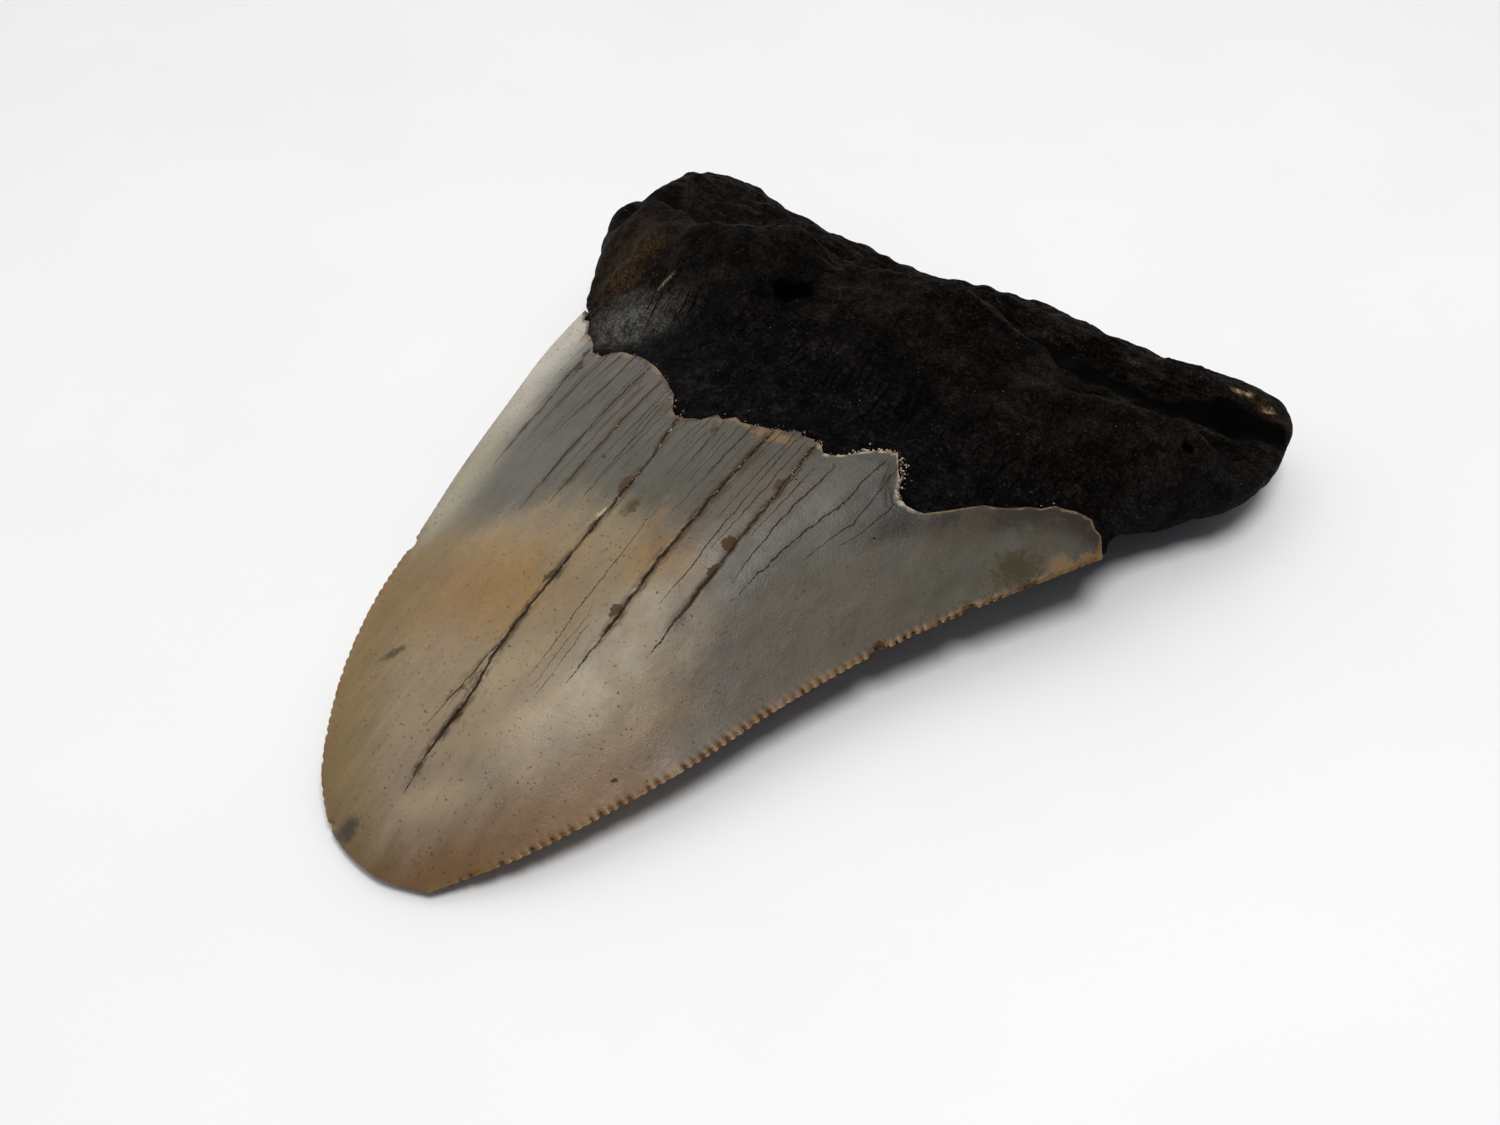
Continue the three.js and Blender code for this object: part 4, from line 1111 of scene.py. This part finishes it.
def enamel_look():
    look = Look("fossil_enamel")
    cloud = look.noise(7, 4, 0.6)
    fine = look.noise(0.9, 4, 0.65)
    streak = look.noise(1.3, 4, 0.6, stretch=(1, 11, 3))
    left_gap = look.attribute("left_gap")
    values = {"x": look.x, "y": look.y, "cloud": cloud, "streak": streak, "left_gap": left_gap}
    values |= {name: look.attribute(name) for name in ("right_gap", *ZONES)}

    lower = look.washes(TIP_TAUPE, LOWER_WASHES, values)
    look.washes(UPPER_GREY, UPPER_WASHES, values)
    near_ledge = look.mask(look.attribute("ledge_gap"), 9.0, 2.0)
    look.paint(RIGHT_DARK, look.times(near_ledge, look.mask(look.x, 9, 14)))
    look.wash(UPPER_BLUE, look.noise(3.6, 4, 0.65, stretch=(1, 1.7, 1)), 0.5, 0.66, 0.5)
    look.wash(UPPER_OLIVE, look.noise(4.4, 4, 0.65, stretch=(1, 1.7, 1)), 0.5, 0.36, 0.5)
    # Pale strip along the left edge: its own pale tone with a painted reflection of the bright room on it.
    strip = look.mix(look.mask(look.y, -10, 6), LEFT_PALE_LOW_AND_REFLECTION, LEFT_PALE_AND_REFLECTION)
    look.wash(strip, look.wandering(look.wandering(left_gap, streak, 3.5), cloud, 2.5), 7.8, 1.2)
    mottle = look.noise(2.4, 4, 0.65, stretch=(1, 1.8, 1))
    tan = look.attribute("tan_zone")
    look.wash(lower, look.wandering(look.wandering(tan, streak, 0.4), mottle, 0.5), 0, 1)

    # Streaks that run down the crown, and fine mottling.
    look.scale(look.mask(streak, 0.3, 0.8, 0.94, 1.06))
    look.scale(look.mask(mottle, 0.3, 0.7, 0.91, 1.07))
    speck = look.noise(0.32, 1, 0.5)
    look.wash(THREAD_BROWN, look.noise(0.3, 3, 0.6, stretch=(1, 14, 3)), 0.62, 0.8, 0.3)
    look.wash(FINE_BROWN, fine, 0.42, 0.25, 0.3)
    look.wash(SPECK_BROWN, speck, 0.66, 0.74, 0.55)

    # Cutting edges.
    patchy = look.noise(2.5, 3, 0.6)
    edge_gap = look.wandering(look.wandering(look.attribute("edge_gap"), fine, 1.0), patchy, 1.4)
    bead = look.mix(look.mask(patchy, 0.42, 0.58), EDGE_TAN, EDGE_ORANGE)
    left_clean = look.math("MAXIMUM", look.mask(left_gap, 3, 6), tan)
    look.paint(bead, look.times(look.mask(edge_gap, 1.3, 0.3, 0, 0.85), left_clean))
    look.wash(NOTCH_BROWN, look.attribute("notch"), 0.2, 0.7, 0.75)

    # Small dots of two kinds, and larger stains.
    crowd = look.noise(2.2, 2, 0.5)
    dark_dots = look.times(look.mask(look.cells(0.85), 0.17, 0.08), look.mask(crowd, 0.46, 0.6))
    rust_dots = look.times(look.mask(look.cells(1.2), 0.14, 0.06), look.mask(crowd, 0.54, 0.42))
    look.paint(DOT_DARK, look.times(dark_dots, 0.8))
    look.paint(DOT_RUST, look.times(rust_dots, 0.8))
    matt = [rust_dots]
    for name, (tone, strength, soft) in ENAMEL_STAIN_TONES.items():
        spread = look.wandering(look.wandering(look.attribute(name), fine, 0.9), speck, 0.4)
        matt.append(look.mask(spread, 0.5 - soft, 0.5 + soft, 0, strength))
        look.paint(tone, matt[-1])

    # Cracks, with a brown seam beside them.
    ragged = look.noise(0.35, 4, 0.8)
    masks = [look.crack(group, ragged, CRACK_RAGGED[group]) for group in CRACK_GROUPS]
    opening, seam = (look.math("MAXIMUM", *group) for group in zip(*masks))
    dirt = look.noise(1.2, 3, 0.7, stretch=(1, 3, 1))
    open_crack = look.times(opening, look.mask(dirt, 0.32, 0.48, 0.45, 0.97))
    look.paint(CRACK_BROWN, look.times(seam, look.mask(dirt, 0.42, 0.56, 0.15, 0.9)))
    look.paint(CRACK_DARK, open_crack)

    # The broken ledge: tan and brown, pale and crystalline only at its ragged middle.
    ledge = look.wandering(look.attribute("ledge_gap"), look.noise(0.6, 3, 0.7), 0.7)
    crystal = look.times(look.mask(look.x, 4, 8), look.mask(look.x, 17.5, 15.5), look.mask(fine, 0.4, 0.6))
    rim = look.mix(look.mask(look.noise(1.8, 3, 0.6), 0.4, 0.6), LEDGE_BROWN, LEDGE_TAN)
    look.wash(look.mix(crystal, rim, LEDGE_PALE), ledge, 0.7, 0.15, 0.9)

    shine = look.math(
        "ADD", look.mask(look.noise(3, 4, 0.6), 0.3, 0.7, 0.29, 0.4), look.times(open_crack, 0.4),
        look.times(look.math("MAXIMUM", *matt), 0.3), look.mask(ledge, 0.6, 0.0, 0, 0.2))
    height = look.math("ADD", look.times(fine, 0.4), look.times(look.noise(3.2, 2, 0.5), 0.9))
    height = look.math("SUBTRACT", height, look.times(opening, 1.2))
    normal = look.bump(height, 0.05)
    normal = look.bump(look.noise(0.22, 2, 0.5), 0.013, normal=normal)
    return look.finish(shine, normal, 0.23)


ROOT_BLACK = (0.0033, 0.0026, 0.0021)
ROOT_FRONT = (0.0022, 0.0021, 0.0024)
ROOT_DUST = (0.009, 0.0066, 0.005)
ROOT_PINK = (0.011, 0.009, 0.009)
# A painted glint: bright specks on the root that stand in for tiny reflections.
ROOT_PAINTED_GLINT = (0.16, 0.15, 0.13)
# Dark of the scores, and the painted shade of the pits and crevice.
SCORE_DARK_AND_HOLLOW_SHADE = (0.0012, 0.001, 0.0008)
GRAIN_BROWN = (0.009, 0.007, 0.0055)
GRIT_GREY = (0.014, 0.012, 0.01)
RUST_SPECK = (0.03, 0.016, 0.01)

# Stains of the root, and one painted sheen: tone, and how far their borders wander.
ROOT_STAIN_TONES = {
    "stain_tan": ((0.016, 0.0095, 0.005), 1.3),
    "stain_lump": ((0.032, 0.0185, 0.008), 1.1),
    # Painted sheen: the bluish reflection of the smooth patch.
    "painted_sheen_blue": ((0.064, 0.061, 0.052), 0.3),
    "stain_scaly": ((0.0065, 0.0062, 0.007), 1.2),
    "stain_light": ((0.22, 0.15, 0.09), 0.7),
}


def root_look():
    look = Look("fossil_root")
    grain = look.noise(0.55, 4, 0.65)
    patch = look.noise(5, 4, 0.6)
    look.colour = ROOT_BLACK
    look.wash(ROOT_DUST, patch, 0.42, 0.68)
    look.wash(ROOT_FRONT, look.wandering(look.y, patch, 10.0), 21, 13, 0.8)
    look.wash(GRAIN_BROWN, grain, 0.52, 0.7, 0.7)
    look.wash(GRIT_GREY, look.noise(0.42, 2, 0.5), 0.62, 0.72, 0.6)
    rusty = look.mask(look.noise(6, 2, 0.5), 0.45, 0.6)
    look.paint(RUST_SPECK, look.times(look.mask(look.noise(0.3, 1, 0.5), 0.69, 0.76), rusty, 0.6))
    pink = look.mask(look.noise(5, 2, 0.5), 0.42, 0.6)
    look.paint(ROOT_PINK, look.times(look.mask(look.noise(0.9, 3, 0.6), 0.5, 0.64), pink, 0.7))
    for name, (tone, wander) in ROOT_STAIN_TONES.items():
        look.wash(tone, look.wandering(look.attribute(name), grain, wander), 0.1, 0.9, 0.9)

    # Light and dark of the rugged surface, with fibres along the back.
    rugged = look.mask(look.noise(1.2, 4, 0.7), 0.34, 0.66, 0.5, 1.5)
    gritty = look.mask(look.noise(0.3, 3, 0.7), 0.38, 0.66, 0.65, 1.4)
    fibres = look.mask(look.noise(0.5, 3, 0.6, stretch=(9, 1, 1), turn=0.1), 0.36, 0.64, 0.55, 1.45)
    fibres = look.math("ADD", 1.0, look.times(look.mask(look.y, 33, 38), look.math("SUBTRACT", fibres, 1.0)))
    look.scale(look.times(rugged, gritty, fibres, look.mask(look.y, 33, 37, 1.0, 1.3)))

    # Fine parallel scores, painted glints in bands, and painted shade in the pits and crevice.
    ragged = look.noise(0.45, 4, 0.75)
    scored = look.math("MAXIMUM", *(look.crack(group, ragged, SCORE_RAGGED)[0] for group in SCORE_GROUPS))
    look.paint(SCORE_DARK_AND_HOLLOW_SHADE, look.times(scored, 0.9))
    # Painted glints: bright specks in bands, in place of sparkling reflections.
    band = look.mask(look.noise(3.5, 2, 0.5), 0.5, 0.58)
    look.paint(ROOT_PAINTED_GLINT, look.times(look.mask(look.noise(0.24, 2, 0.6), 0.71, 0.75), band))
    # Painted shade in the pits and crevice.
    look.wash(SCORE_DARK_AND_HOLLOW_SHADE, look.attribute("hollow"), 0.1, 0.5)
    shine = look.mask(grain, 0.3, 0.7, 0.5, 0.68)
    normal = look.bump(look.noise(1.6, 4, 0.6), 0.42)
    normal = look.bump(grain, 0.36, normal=normal)
    normal = look.bump(look.math("SUBTRACT", look.cells(0.35), look.times(scored, 2.5)), 0.07, normal=normal)
    return look.finish(shine, normal, 0.015)


GRAIN_PALE = (0.5, 0.4, 0.28)
GRAIN_DARK = (0.12, 0.07, 0.035)
TABLE_TONES = ((0.8, 0.8, 0.8), (0.82, 0.82, 0.815))


def grain_look():
    look = Look("mineral_grains")
    look.colour = look.mix(look.mask(look.noise(0.5, 2), 0.4, 0.6), GRAIN_PALE, GRAIN_DARK)
    normal = look.bump(look.noise(0.1, 2), 0.01)
    return look.finish(look.mask(look.noise(0.7, 1), 0.3, 0.7, 0.15, 0.4), normal, 0.6)


def table_look():
    look = Look("pale_table")
    look.colour = look.mix(look.mask(look.noise(40, 3), 0.3, 0.7), *TABLE_TONES)
    normal = look.bump(look.noise(0.8, 3), 0.03)
    return look.finish(0.6, normal, 0.3)


# Stage

TARGET = Vector((0, 0, 8)) * MM
KEY_DIRECTION = Vector((0.15, -0.03, 0.98))
KEY_DISTANCE = 0.5
KEY_SIZE = 0.22
KEY_POWER = 1.5
WINDOW_SIDE = (-0.86, 0.45, 0.15)
BRIGHT_SKY = (1.19, 1.19, 1.19)
DIM_SKY = (0.1, 0.1, 0.115)
SKY_TURNS = (-0.27, 0.6)
FLOOR_SIZE = 3.0


def add_floor():
    half = FLOOR_SIZE / 2
    mesh = bpy.data.meshes.new("table")
    corners = [(-half, -half, 0), (half, -half, 0), (half, half, 0), (-half, half, 0)]
    mesh.from_pydata(corners, [], [(0, 1, 2, 3)])
    mesh.materials.append(table_look())
    new_object("table", mesh)


def add_key_light():
    data = bpy.data.lights.new("key_light", "AREA")
    data.shape = "DISK"
    data.size = KEY_SIZE
    data.energy = KEY_POWER
    light = new_object("key_light", data)
    light.location = TARGET + KEY_DIRECTION.normalized() * KEY_DISTANCE
    light.rotation_euler = KEY_DIRECTION.to_track_quat("Z", "Y").to_euler()


def add_sky():
    """A room with its pale, bright side behind the tooth's left, and a dimmer one opposite."""
    world = bpy.data.worlds.new("studio")
    world.use_nodes = True
    sky = Nodes(world.node_tree)
    way = sky.node("TexCoord").outputs["Generated"]
    side = sky.node("VectorMath", {0: way, 1: WINDOW_SIDE}, operation="DOT_PRODUCT").outputs["Value"]
    tone = sky.mix(sky.mask(side, *SKY_TURNS), DIM_SKY, BRIGHT_SKY)
    sky.feed(sky.tree.nodes["Background"].inputs["Color"], tone)
    bpy.context.scene.world = world


CAMERA_PLACE = Vector((66.663, -87.564, 117.724)) * MM
CAMERA_FORWARD = Vector((-0.40577, 0.54815, -0.73135))
CAMERA_RIGHT = Vector((0.80375, 0.59497, 0))
CAMERA_LENS = 38.4


def add_camera():
    data = bpy.data.cameras.new("camera")
    data.lens = CAMERA_LENS
    data.sensor_width = 36
    data.clip_start = 0.01
    camera = new_object("camera", data)
    up = CAMERA_RIGHT.cross(CAMERA_FORWARD)
    turn = Matrix((CAMERA_RIGHT, up, -CAMERA_FORWARD)).transposed()
    camera.matrix_world = Matrix.Translation(CAMERA_PLACE) @ turn.to_4x4()
    bpy.context.scene.camera = camera


def main():
    pieces = (
        (make_crown(enamel_look()), "enamel"),
        (make_root(root_look()), "root"),
        (make_crystals(grain_look()), "enamel"),
    )
    for piece, slot in pieces:
        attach(piece, "root")
        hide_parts("tooth")
    add_floor()
    add_key_light()
    add_sky()
    add_camera()
    bpy.context.scene.view_settings.view_transform = "Standard"


main()
